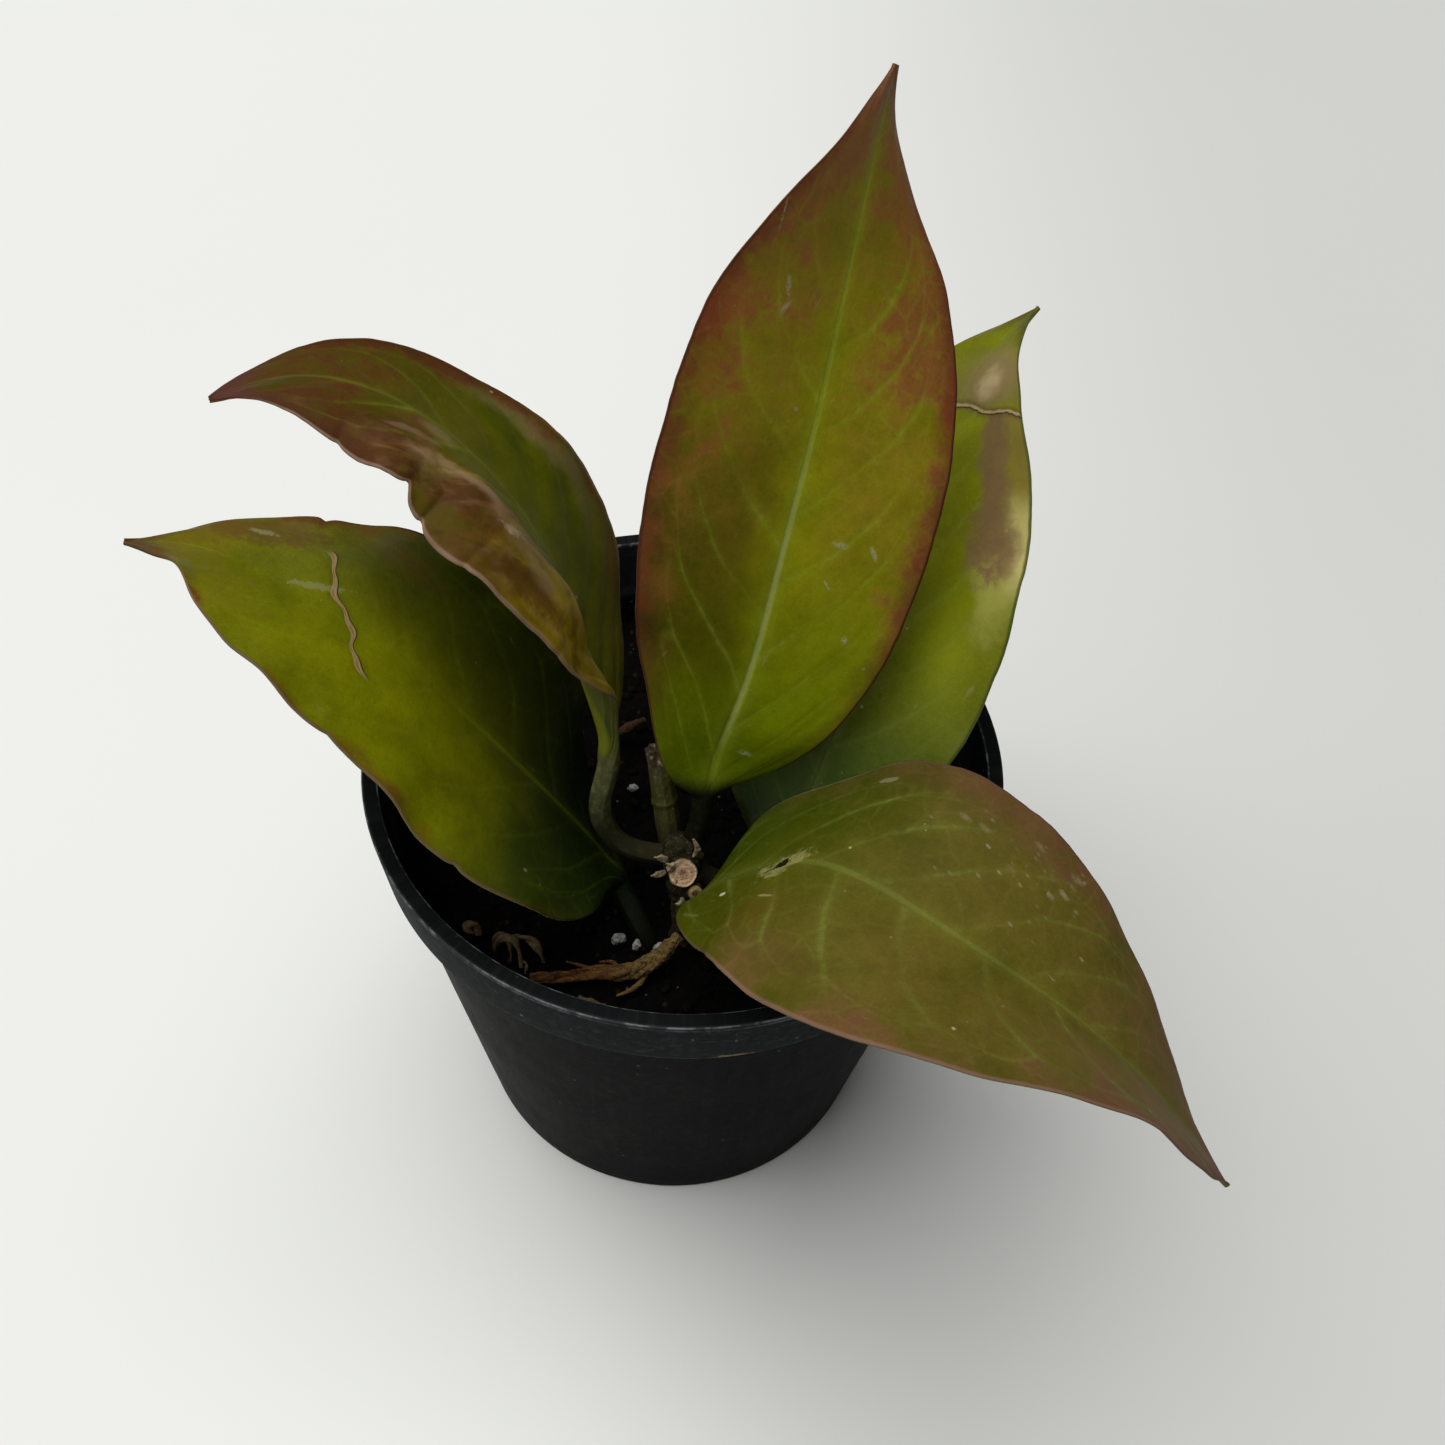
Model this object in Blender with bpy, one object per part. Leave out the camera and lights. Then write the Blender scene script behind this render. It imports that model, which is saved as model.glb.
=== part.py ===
"""Potted sunrise hoya: a young hoya cutting in a small round nursery pot.

The pot stands upright with the centre of its flat underside at the origin.
+Z is up, and the photographed front is the -Y side. All dimensions below are
in millimetres and are turned into metres where the meshes are made.

Every leaf is one grown piece: a round petiole that flattens into a thick
blade. A leaf is described by the points its petiole and midrib pass through,
the direction across its blade, how the blade rolls along its length, and how
far each half folds up from the midrib and curls towards its edge.
"""
import math
import bpy
import bmesh
import numpy as np
from mathutils import Vector

for old in list(bpy.data.objects):
    bpy.data.objects.remove(old, do_unlink=True)

MM = 0.001

# ---------------------------------------------------------------- dimensions
POT_HEIGHT = 61.5          # underside to the top of the rim
RIM_RADIUS = 38.0          # outside of the rim at its top
RIM_BOTTOM_RADIUS = 37.1   # outside of the rim band at its lower edge
RIM_BAND = 8.0             # height of the rim band
LIP_WIDTH = 1.9            # width of the flat lip on top of the rim
NECK_RADIUS = 35.6         # outside of the wall just under the band
BASE_RADIUS = 27.2         # outside of the wall at the underside
WALL = 0.9                 # thickness of the wall
FLOOR = 1.2                # thickness of the floor
DRAIN_HOLES = 6
DRAIN_HOLE_RADIUS = 3.0
DRAIN_CIRCLE = 17.5        # radius of the circle the drain holes sit on
POT_SEGMENTS = 48

SOIL_LEVEL = 50.0          # mean height of the soil surface
GAP = 0.3                  # clearance between pieces that touch

PETIOLE_RADIUS = 1.3
BLADE_HALF_THICKNESS = 0.62
TIP_RADIUS = 0.25

STEM_SEGMENTS = 10


# ------------------------------------------------------------------ materials
def material(name, rgb, rough, metallic=0.0):
    m = bpy.data.materials.new(name)
    m.use_nodes = True
    b = m.node_tree.nodes["Principled BSDF"]
    b.inputs["Base Color"].default_value = (*rgb, 1.0)
    b.inputs["Roughness"].default_value = rough
    b.inputs["Metallic"].default_value = metallic
    return m


BLACK_PLASTIC = material("black_plastic", (0.012, 0.013, 0.014), 0.38)
SOIL = material("peat_soil", (0.012, 0.009, 0.007), 0.95)
GREEN_STEM = material("green_stem", (0.09, 0.10, 0.035), 0.55)
OLD_STEM = material("old_stem", (0.10, 0.085, 0.05), 0.8)
LEAF_OLIVE = material("leaf_olive", (0.13, 0.15, 0.012), 0.35)
LEAF_LIME = material("leaf_lime", (0.16, 0.22, 0.03), 0.35)
LEAF_BRONZE = material("leaf_bronze", (0.11, 0.07, 0.025), 0.35)
LEAF_GREEN = material("leaf_green", (0.10, 0.13, 0.012), 0.35)
LEAF_DULL = material("leaf_dull_olive", (0.12, 0.11, 0.03), 0.38)
ROOT_BROWN = material("root_brown", (0.20, 0.10, 0.04), 0.9)
PERLITE = material("perlite", (0.75, 0.74, 0.70), 0.9)
DRY_TAN = material("dry_tan", (0.32, 0.21, 0.09), 0.9)


# ----------------------------------------------------------- curve arithmetic
def cubic(knots, values, x):
    """Natural cubic spline through values at knots, read at x."""
    knots = np.asarray(knots, float)
    y = np.asarray(values, float)
    flat = y.ndim == 1
    if flat:
        y = y[:, None]
    n = len(knots)
    h = np.diff(knots)
    a = np.eye(n)
    b = np.zeros((n, y.shape[1]))
    for i in range(1, n - 1):
        a[i, i - 1:i + 2] = (h[i - 1], 2 * (h[i - 1] + h[i]), h[i])
        b[i] = 6 * ((y[i + 1] - y[i]) / h[i] - (y[i] - y[i - 1]) / h[i - 1])
    m = np.linalg.solve(a, b)
    x = np.atleast_1d(np.asarray(x, float))
    i = np.clip(np.searchsorted(knots, x) - 1, 0, n - 2)
    p = (knots[i + 1] - x)[:, None]
    q = (x - knots[i])[:, None]
    hh = h[i][:, None]
    r = ((m[i] * p ** 3 + m[i + 1] * q ** 3) / (6 * hh)
         + (y[i] / hh - m[i] * hh / 6) * p + (y[i + 1] / hh - m[i + 1] * hh / 6) * q)
    return r[:, 0] if flat else r


def even(values, t):
    return cubic(np.linspace(0, 1, len(values)), values, t)


def unit(v):
    return v / np.linalg.norm(v, axis=-1, keepdims=True)


def chord_lengths(points):
    d = np.linalg.norm(np.diff(points, axis=0), axis=1)
    return np.concatenate([[0.0], np.cumsum(d)])


def leaf_outline(s, shape):
    """Half width of a blade, as a share of its greatest, from base (0) to the
    drawn-out tip (1)."""
    p, q, draw, reach = shape
    s = np.clip(s, 0, 1)
    top = (p / (p + q)) ** p * (q / (p + q)) ** q
    return s ** p * (1 - s) ** q / top * (1 - draw * np.exp(-(1 - s) / reach))


# -------------------------------------------------------------- mesh building
def finish(name, bm, mat, smooth_angle=40):
    bmesh.ops.recalc_face_normals(bm, faces=bm.faces)
    mesh = bpy.data.meshes.new(name)
    bm.to_mesh(mesh)
    bm.free()
    mesh.materials.append(mat)
    mesh.shade_smooth()
    mesh.set_sharp_from_angle(angle=math.radians(smooth_angle))
    ob = bpy.data.objects.new(name, mesh)
    bpy.context.scene.collection.objects.link(ob)
    return ob


def skin_rings(bm, rings):
    """Join closed rings of points (mm) one after the other and cap the ends."""
    rows = [[bm.verts.new(Vector(p) * MM) for p in ring] for ring in rings]
    n = len(rows[0])
    for a, b in zip(rows[:-1], rows[1:]):
        for k in range(n):
            bm.faces.new((a[k], a[(k + 1) % n], b[(k + 1) % n], b[k]))
    bm.faces.new(list(reversed(rows[0])))
    bm.faces.new(rows[-1])


def tube_rings(points, radii, steps, sides, knots=None, wobble=0.0, seed=0.0):
    """Rings of a round stem along a smooth curve through the points."""
    pts = np.asarray(points, float)
    c = chord_lengths(pts)
    c = c / c[-1]
    t = np.linspace(0, 1, steps)
    mid = cubic(c, pts, t)
    rad = np.interp(t, c if knots is None else knots, radii)
    tan = unit(np.gradient(mid, axis=0))
    ref = np.array([0.31, 0.95, 0.05])
    rings = []
    for i in range(steps):
        side = ref - tan[i] * (ref @ tan[i])
        side /= np.linalg.norm(side)
        ref = side
        up = np.cross(tan[i], side)
        ring = []
        for k in range(sides):
            a = 2 * math.pi * k / sides
            r = rad[i] * (1 + wobble * math.sin(2.3 * a + 5.1 * i + seed)
                          * math.cos(1.7 * i + seed))
            ring.append(mid[i] + r * (math.cos(a) * side + math.sin(a) * up))
        rings.append(ring)
    return rings


def tube(name, points, radii, steps, sides, mat, **kw):
    bm = bmesh.new()
    skin_rings(bm, tube_rings(points, radii, steps, sides, **kw))
    return finish(name, bm, mat)


def leaf(name, petiole, midrib, across, roll, half_width, left, right, fold,
         curl, shape, mat, waves=(), ridges=(), base=None, roll_over=(0, 0),
         blade_steps=28, half_ring=8):
    """One leaf as a single lofted body, from its petiole's foot to its tip.
    base rounds off where each half starts, roll_over turns the left half up
    near the base, waves lift a margin and ridges raise a crest inside it."""
    pts = np.asarray(list(petiole) + list(midrib), float)
    c = chord_lengths(pts)
    c0 = c[len(petiole)]
    blade_len = c[-1] - c0
    pet_steps = max(4, int(round(c0 / 1.6)))
    theta = np.linspace(0, 1, blade_steps)
    s = (1 - np.cos(np.pi * theta)) / 2
    s = s[1:]
    dist = np.concatenate([np.linspace(0, c0, pet_steps), c0 + s * blade_len])
    sb = np.clip((dist - c0) / blade_len, 0, 1)
    mid = cubic(c, pts, dist)
    eps = 0.05
    tan = unit(cubic(c, pts, np.minimum(dist + eps, c[-1]))
               - cubic(c, pts, np.maximum(dist - eps, 0)))
    across = unit(np.asarray(across, float))
    a0 = unit(across - (tan @ across)[:, None] * tan)
    r = np.radians(even(roll, sb))[:, None]
    n0 = np.cross(a0, tan)
    side = a0 * np.cos(r) + n0 * np.sin(r)
    up = np.cross(side, tan)

    on_blade = dist >= c0
    taper = PETIOLE_RADIUS * (1 - sb) ** 1.5 + TIP_RADIUS * sb
    body = half_width * leaf_outline(sb, shape) * on_blade
    merge = np.clip(sb / 0.07, 0, 1)
    merge = merge * merge * (3 - 2 * merge)
    thick = (PETIOLE_RADIUS * (1 - merge)
             + (BLADE_HALF_THICKNESS + (TIP_RADIUS - BLADE_HALF_THICKNESS)
                * np.clip((sb - 0.85) / 0.15, 0, 1)) * merge)
    power = 1.0 - 0.45 * merge

    alpha = [math.pi * (1 - (j + 0.5) / half_ring) for j in range(half_ring)]
    reach = math.cos(math.pi / (2 * half_ring))
    halves = []
    for k, mult in enumerate((left, right)):
        start = 1.0
        if base:
            start = 1 - np.exp(-(sb / base[k][0]) ** base[k][1])
        w = np.hypot(body * start * even(mult, sb), taper)
        f = np.radians(even(fold[k], sb)) * merge
        if k == 0 and roll_over[0]:
            f = f + math.radians(roll_over[0]) * np.exp(-(sb / roll_over[1]) ** 2) * merge
        u = np.radians(even(curl[k], sb)) * merge
        halves.append((w, f, u))
    top, bottom = [], []
    for al in alpha:
        v = math.cos(al) / reach
        k, sg = (0, -1) if v < 0 else (1, 1)
        w, f, u = halves[k]
        d = abs(v)
        q = (np.arange(12) + 0.5) / 12 * d
        ang = f[:, None] * (1 - np.exp(-q / 0.07))[None] + u[:, None] * q[None]
        x = np.cos(ang).mean(1) * d * w
        y = np.sin(ang).mean(1) * d * w
        for wside, centre, length, height, rise in waves:
            if wside == sg:
                y = y + merge * height * d ** rise * np.exp(-((sb - centre) / length) ** 2)
        for wside, centre, length, height, crest in ridges:
            if wside == sg:
                y = y + (height * np.exp(-((sb - centre) / length) ** 2)
                         * math.exp(-((d - crest) / 0.26) ** 2))
        end = f * (1 - math.exp(-d / 0.07)) + u * d
        p = mid + sg * x[:, None] * side + y[:, None] * up
        nrm = (np.cos(end)[:, None] * up - sg * np.sin(end)[:, None] * side)
        h = (thick * math.sin(al) ** power)[:, None]
        top.append(p + h * nrm)
        bottom.append(p - h * nrm)
    ring_points = top + bottom[::-1]
    rings = [[rp[i] for rp in ring_points] for i in range(len(dist))]
    bm = bmesh.new()
    skin_rings(bm, rings)
    return finish(name, bm, mat, 60)


def soil_height(x, y):
    """Uneven surface of the potting mix."""
    return (SOIL_LEVEL + 0.42 * math.sin(0.31 * x + 1.3) * math.cos(0.27 * y)
            + 0.28 * math.sin(0.62 * x - 0.5 * y) + 0.16 * math.cos(0.9 * y + 0.4 * x))


def cut_with(target, cutters):
    for cutter in cutters:
        mod = target.modifiers.new("cut", "BOOLEAN")
        mod.operation = "DIFFERENCE"
        mod.solver = "EXACT"
        mod.object = cutter
        cutter.hide_render = True
        cutter.display_type = "WIRE"


def cutter_tube(name, points, radii, steps, sides):
    bm = bmesh.new()
    skin_rings(bm, tube_rings(points, radii, steps, sides))
    bmesh.ops.recalc_face_normals(bm, faces=bm.faces)
    mesh = bpy.data.meshes.new(name)
    bm.to_mesh(mesh)
    bm.free()
    ob = bpy.data.objects.new(name, mesh)
    bpy.context.scene.collection.objects.link(ob)
    ob.hide_render = True
    ob.display_type = "WIRE"
    return ob


# ------------------------------------------------------------------------ pot
def turn_profile(profile, segments):
    """Turn a closed (radius, height) profile that starts and ends on the axis."""
    bm = bmesh.new()
    rows = []
    for r, z in profile:
        if r < 1e-6:
            rows.append([bm.verts.new((0, 0, z * MM))])
        else:
            rows.append([bm.verts.new((r * MM * math.cos(2 * math.pi * k / segments),
                                       r * MM * math.sin(2 * math.pi * k / segments),
                                       z * MM)) for k in range(segments)])
    for a, b in zip(rows[:-1], rows[1:]):
        for k in range(segments):
            n = (k + 1) % segments
            if len(a) == 1:
                bm.faces.new((a[0], b[n], b[k]))
            elif len(b) == 1:
                bm.faces.new((a[k], a[n], b[0]))
            else:
                bm.faces.new((a[k], a[n], b[n], b[k]))
    return bm


band_z = POT_HEIGHT - RIM_BAND
outer_profile = [
    (0, 0), (BASE_RADIUS - 0.7, 0), (BASE_RADIUS, 0.7),
    (NECK_RADIUS, band_z - 0.35), (RIM_BOTTOM_RADIUS - 0.35, band_z),
    (RIM_BOTTOM_RADIUS, band_z + 0.4),
    (RIM_RADIUS, POT_HEIGHT - 0.55), (RIM_RADIUS - 0.45, POT_HEIGHT),
]
inner_profile = [
    (RIM_RADIUS - LIP_WIDTH + 0.3, POT_HEIGHT), (RIM_RADIUS - LIP_WIDTH, POT_HEIGHT - 0.35),
    (RIM_BOTTOM_RADIUS - LIP_WIDTH + 0.1, band_z + 0.9),
    (NECK_RADIUS - WALL, band_z - 0.4),
    (BASE_RADIUS - WALL + 0.25, FLOOR + 0.9), (BASE_RADIUS - WALL - 0.7, FLOOR), (0, FLOOR),
]
pot = finish("nursery_pot", turn_profile(outer_profile + inner_profile, POT_SEGMENTS),
             BLACK_PLASTIC, 30)
drills = []
for k in range(DRAIN_HOLES):
    ang = 2 * math.pi * (k + 0.5) / DRAIN_HOLES
    x, y = DRAIN_CIRCLE * math.cos(ang), DRAIN_CIRCLE * math.sin(ang)
    drills.append(cutter_tube("drain_cutter_%d" % (k + 1),
                              [(x, y, -2), (x, y, 1), (x, y, 4)],
                              [DRAIN_HOLE_RADIUS] * 3, 3, 12))
cut_with(pot, drills)

# ----------------------------------------------------------------------- soil
# A slightly uneven top on a tapered body that fills the pot, with a pocket
# for each stem that is rooted in it.


def inner_radius(z):
    """Inside radius of the pot's wall at height z."""
    t = (z - FLOOR - 0.9) / (band_z - 0.4 - FLOOR - 0.9)
    return (BASE_RADIUS - WALL + 0.25) * (1 - t) + (NECK_RADIUS - WALL) * t


SOIL_SPOKES, SOIL_RINGS = 32, 8
bm = bmesh.new()
top_rows = []
for i in range(SOIL_RINGS + 1):
    if i == 0:
        top_rows.append([bm.verts.new((0, 0, soil_height(0, 0) * MM))])
        continue
    row = []
    for k in range(SOIL_SPOKES):
        ang = 2 * math.pi * k / SOIL_SPOKES
        rad = (inner_radius(SOIL_LEVEL) - GAP - 0.25) * i / SOIL_RINGS
        x, y = rad * math.cos(ang), rad * math.sin(ang)
        row.append(bm.verts.new((x * MM, y * MM, soil_height(x, y) * MM)))
    top_rows.append(row)
low = []
for r, z in ((inner_radius(45.0) - GAP - 0.25, 45.0),
             (inner_radius(FLOOR + 2.0) - GAP - 0.3, FLOOR + 2.0),
             (inner_radius(FLOOR + 0.9) - GAP - 1.2, FLOOR + GAP)):
    low.append([bm.verts.new((r * MM * math.cos(2 * math.pi * k / SOIL_SPOKES),
                              r * MM * math.sin(2 * math.pi * k / SOIL_SPOKES), z * MM))
                for k in range(SOIL_SPOKES)])
for a, b in zip(top_rows[:-1], top_rows[1:]):
    for k in range(SOIL_SPOKES):
        n = (k + 1) % SOIL_SPOKES
        if len(a) == 1:
            bm.faces.new((a[0], b[k], b[n]))
        else:
            bm.faces.new((a[k], b[k], b[n], a[n]))
for a, b in zip([top_rows[-1]] + low[:-1], low):
    for k in range(SOIL_SPOKES):
        n = (k + 1) % SOIL_SPOKES
        bm.faces.new((a[k], b[k], b[n], a[n]))
bm.faces.new(low[-1])
soil = finish("potting_soil", bm, SOIL, 40)

# ---------------------------------------------------------------------- stems
# The old stem leans back a little as it rises, swells at the node and ends in
# a flat cut that faces forwards and up; a small bud sits under the cut.
STEM_PATH = [(1.1, -17.8, 41.5), (1.25, -18.6, 49.0), (1.0, -17.9, 54.0),
             (0.5, -16.4, 58.0), (0.1, -15.2, 60.6), (0.0, -14.6, 62.6)]
STEM_RADII = [1.7, 1.95, 1.7, 2.0, 2.55, 2.2]
CUT_AXIS = np.array([0.05, -0.72, 0.70])
CUT_CENTRE = np.array([0.4, -18.15, 61.1])

bm = bmesh.new()
skin_rings(bm, tube_rings(STEM_PATH, STEM_RADII, 17, 12, wobble=0.05, seed=0.6))
main_stem = finish("main_stem", bm, OLD_STEM, 45)
cut_stub = cutter_tube("cut_stub_guide",
                       [CUT_CENTRE - 4.2 * CUT_AXIS, CUT_CENTRE - 2.0 * CUT_AXIS, CUT_CENTRE],
                       [1.5, 1.55, 1.65], 5, 12)
bud = cutter_tube("bud_guide", [(1.5, -17.2, 57.0), (1.75, -18.6, 57.7), (1.95, -19.6, 58.3)],
                  [0.95, 0.95, 0.7], 4, 8)
for other in (cut_stub, bud):
    mod = main_stem.modifiers.new("join", "BOOLEAN")
    mod.operation = "UNION"
    mod.solver = "EXACT"
    mod.object = other

tube("upright_stub_stem",
     [(-1.3, -11.6, 58.4), (-1.8, -10.8, 62.4), (-2.5, -9.3, 66.6), (-3.3, -7.6, 70.3)],
     [1.25, 1.35, 1.35, 1.15], 9, STEM_SEGMENTS, GREEN_STEM, wobble=0.03, seed=2.0)

# --------------------------------------------------------------------- leaves
leaf("leaf_tall_center",
     petiole=[(1.5, -13.8, 63.6), (2.1, -13.5, 66.2)],
     midrib=[(2.2, -12.8, 68.9), (5.2, -7.8, 78.1), (8.6, -0.3, 91.1), (11.5, 7.9, 104.8),
             (13.8, 16.7, 118.2), (15.6, 23.0, 127.6), (16.9, 26.5, 132.9)],
     across=(0.98, 0.20, 0.0), roll=(-8, -4, -18, -53), half_width=15.8,
     left=(0.96, 1.02, 1.01, 1.08, 0.97), right=(0.99, 1.0, 0.99, 1.07, 0.97),
     fold=((9, 6, 2, 8), (5, 10, 7, 3)), curl=((1, -2, -6, 0), (-3, 3, -1, -5)),
     shape=(0.586, 0.704, 0.744, 0.085), mat=LEAF_OLIVE)

leaf("leaf_back_right",
     petiole=[(3.2, -15.6, 57.6), (6.6, -15.6, 56.4)],
     midrib=[(10.2, -13.5, 57.7), (16.1, -5.8, 67.5), (22.3, 4.9, 79.5), (26.5, 16.2, 89.6),
             (30.2, 25.3, 96.3), (34.6, 30.3, 100.8), (37.5, 32.1, 103.1)],
     across=(0.94, -0.28, 0.19), roll=(-5, 9, 24, 44), half_width=15.3,
     left=(1.0, 0.98, 1.01, 1.02, 1.0), right=(1.0, 0.98, 1.01, 1.03, 1.0),
     fold=((8, 8, 8, 10), (8, 9, 7, 11)), curl=((0, 0, 0, 2), (0, 1, -1, 3)),
     shape=(0.511, 0.683, 0.697, 0.074), mat=LEAF_LIME)

leaf("leaf_arching_left",
     petiole=[(-3.2, -14.6, 60.0), (-7.3, -13.9, 61.0), (-9.2, -12.4, 64.4)],
     midrib=[(-8.4, -10.2, 69.9), (-10.7, -6.6, 80.5), (-14.9, -3.0, 92.8), (-21.1, 0.4, 101.5),
             (-29.2, 2.5, 107.6), (-39.2, 2.7, 110.0), (-47.0, 0.6, 108.8)],
     across=(0.10, 0.99, 0.10), roll=(-27, -30, -34, -37), half_width=14.4,
     left=(1.0, 0.98, 1.06, 0.96, 1.0), right=(0.99, 1.01, 1.04, 0.97, 1.02),
     fold=((-12, 0, -9, -2), (16, 29, 19, 26)), curl=((-34, -27, -36, -19), (5, 16, 7, 14)),
     shape=(0.5, 0.672, 0.595, 0.071), mat=LEAF_BRONZE,
     waves=((-1, 0.42, 0.05, -0.4, 2.0), (-1, 0.55, 0.05, -0.8, 2.0), (-1, 0.67, 0.05, 1.6, 2.0)),
     ridges=((-1, 0.54, 0.07, 2.0, 0.5), (-1, 0.39, 0.07, 1.6, 0.5)),
     base=((0.20, 2.2), (0.02, 1.0)), roll_over=(105, 0.16))

leaf("leaf_low_left",
     petiole=[(-2.3, -20.4, 42.5), (-2.9, -20.1, 48.0), (-4.6, -18.4, 51.6)],
     midrib=[(-7.0, -15.3, 54.6), (-13.5, -13.5, 65.4), (-23.0, -11.3, 76.9), (-33.0, -7.4, 84.4),
             (-44.0, -2.9, 88.3), (-52.9, -0.4, 90.2), (-59.1, -0.7, 90.8)],
     across=(0.33, 0.77, 0.55), roll=(-51, -33, -38, -55), half_width=16.0,
     left=(0.95, 1.1, 0.94, 1.06, 0.97), right=(0.96, 1.07, 0.98, 1.06, 0.97),
     fold=((4, 5, 11, 7), (-2, 13, 11, 3)), curl=((-4, -3, 3, -1), (-10, 5, 3, -5)),
     shape=(0.534, 0.731, 0.713, 0.089), mat=LEAF_GREEN)

leaf("leaf_drooping_right",
     petiole=[(2.6, -20.6, 54.6), (1.7, -22.0, 56.6)],
     midrib=[(1.5, -22.7, 59.4), (8.4, -23.4, 69.6), (16.7, -28.8, 77.1), (26.9, -36.8, 78.3),
             (37.8, -42.8, 74.9), (47.2, -47.4, 68.1), (55.6, -51.4, 59.0)],
     across=(-0.43, -0.64, -0.64), roll=(34, 38, 53, 69), half_width=16.4,
     left=(0.97, 1.02, 1.06, 1.0, 1.0), right=(0.98, 0.99, 1.09, 0.97, 1.0),
     fold=((7, 7, 12, 3), (11, 2, 16, 4)), curl=((0, -1, 4, -5), (2, -6, 8, -4)),
     shape=(0.44, 0.697, 0.725, 0.07), mat=LEAF_DULL, base=((0.11, 1.3), (0.08, 2.0)))

# Pockets in the soil for the old stem and for the low leaf's petiole.
stem_pocket = cutter_tube("stem_pocket_cutter",
                          [(1.1, -17.8, 40.6), (1.25, -18.6, 48.0), (1.1, -18.5, 53.0)],
                          [2.3, 2.45, 2.5], 6, 12)
petiole_pocket = cutter_tube("petiole_pocket_cutter",
                             [(-2.3, -20.4, 41.6), (-2.95, -20.1, 48.0), (-4.9, -18.3, 52.2),
                              (-6.4, -16.8, 54.0)],
                             [1.75, 1.8, 1.9, 1.9], 8, 12)
cut_with(soil, [stem_pocket, petiole_pocket])

# ----------------------------------------------------- things lying on the soil


def above_soil(x, y, lift):
    return (x, y, max(soil_height(x + dx, y + dy) for dx in (-1, 0, 1) for dy in (-1, 0, 1)) + lift)


# The root leaves the foot of the stem above the soil, then lies along it.
root_xy = [(-2.9, -23.9), (-5.6, -25.1), (-8.4, -25.2), (-12.4, -25.8), (-16.1, -26.8)]
root_r = [0.6, 0.95, 1.15, 1.15, 0.85, 0.8, 0.55]
tube("surface_root",
     [(0.3, -21.9, 54.3), (-0.9, -22.9, 53.1)]
     + [above_soil(x, y, r + 0.45) for (x, y), r in zip(root_xy, root_r[2:])],
     root_r, 24, 8, ROOT_BROWN, wobble=0.08, seed=1.1)


def grain(name, x, y, size, seed):
    """Angular grain of perlite resting on the soil."""
    bm = bmesh.new()
    bmesh.ops.create_icosphere(bm, subdivisions=1, radius=1.0)
    base = above_soil(x, y, 0.35)
    lowest = 0.0
    pts = []
    for i, v in enumerate(bm.verts):
        k = 1 + 0.22 * math.sin(3.7 * i + seed)
        v.co = Vector((v.co.x * size[0] * k, v.co.y * size[1] * k, v.co.z * size[2] * k))
        lowest = min(lowest, v.co.z)
        pts.append(v)
    for v in pts:
        v.co = Vector((x + v.co.x, y + v.co.y, base[2] - lowest + v.co.z)) * MM
    return finish(name, bm, PERLITE, 20)


grain("perlite_grain_1", -6.9, -20.6, (0.95, 0.7, 0.8), 0.4)
grain("perlite_grain_2", -4.5, -21.7, (0.55, 0.6, 0.9), 1.9)
grain("perlite_grain_3", -1.9, -21.9, (0.65, 0.45, 0.7), 3.1)
grain("perlite_grain_4", -6.3, 1.6, (0.7, 0.5, 0.5), 4.2)
grain("perlite_grain_5", 9.5, -26.8, (0.6, 0.6, 0.5), 5.6)


def curl_path(cx, cy, radius, turns, rise, lean, n=15):
    """A dried fibre that loops over itself above the soil."""
    pts = []
    for i in range(n):
        t = i / (n - 1)
        a = 2 * math.pi * turns * t
        x = cx + radius * (1 - 0.25 * t) * math.cos(a) + lean[0] * t
        y = cy + radius * 0.8 * (1 - 0.25 * t) * math.sin(a) + lean[1] * t
        z = SOIL_LEVEL + 1.55 + rise * math.sin(math.pi * t) + 0.5 * t
        pts.append((x, y, z))
    return pts


tube("dry_curl_large", [above_soil(-20.5, -22.5, 0.8), (-20.0, -22.4, 52.5), (-19.2, -22.5, 53.2),
                        (-18.4, -22.7, 53.1), (-17.8, -23.4, 52.4), above_soil(-17.5, -24.7, 0.8)],
     [0.35, 0.45, 0.5, 0.5, 0.42, 0.3], 30, 6, DRY_TAN)
tube("dry_curl_small", curl_path(-23.6, -21.3, 0.95, 0.7, 0.8, (0.6, 0.5), 9),
     [0.35, 0.5, 0.35], 12, 6, DRY_TAN, knots=(0, 0.5, 1))
tube("bark_flake", [above_soil(-10.6, -28.6, 0.85), above_soil(-9.2, -29.3, 1.0),
                    above_soil(-7.6, -29.2, 0.8)],
     [0.3, 0.5, 0.25], 8, 6, DRY_TAN)
tube("bark_twig_back", [above_soil(-9.3, 9.4, 0.9), above_soil(-7.4, 10.6, 1.6),
                        above_soil(-5.6, 12.9, 0.9)],
     [0.4, 0.7, 0.4], 9, 6, ROOT_BROWN)
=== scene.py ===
import math

import bpy
import bmesh
import numpy as np
from mathutils import Matrix, Vector


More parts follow.
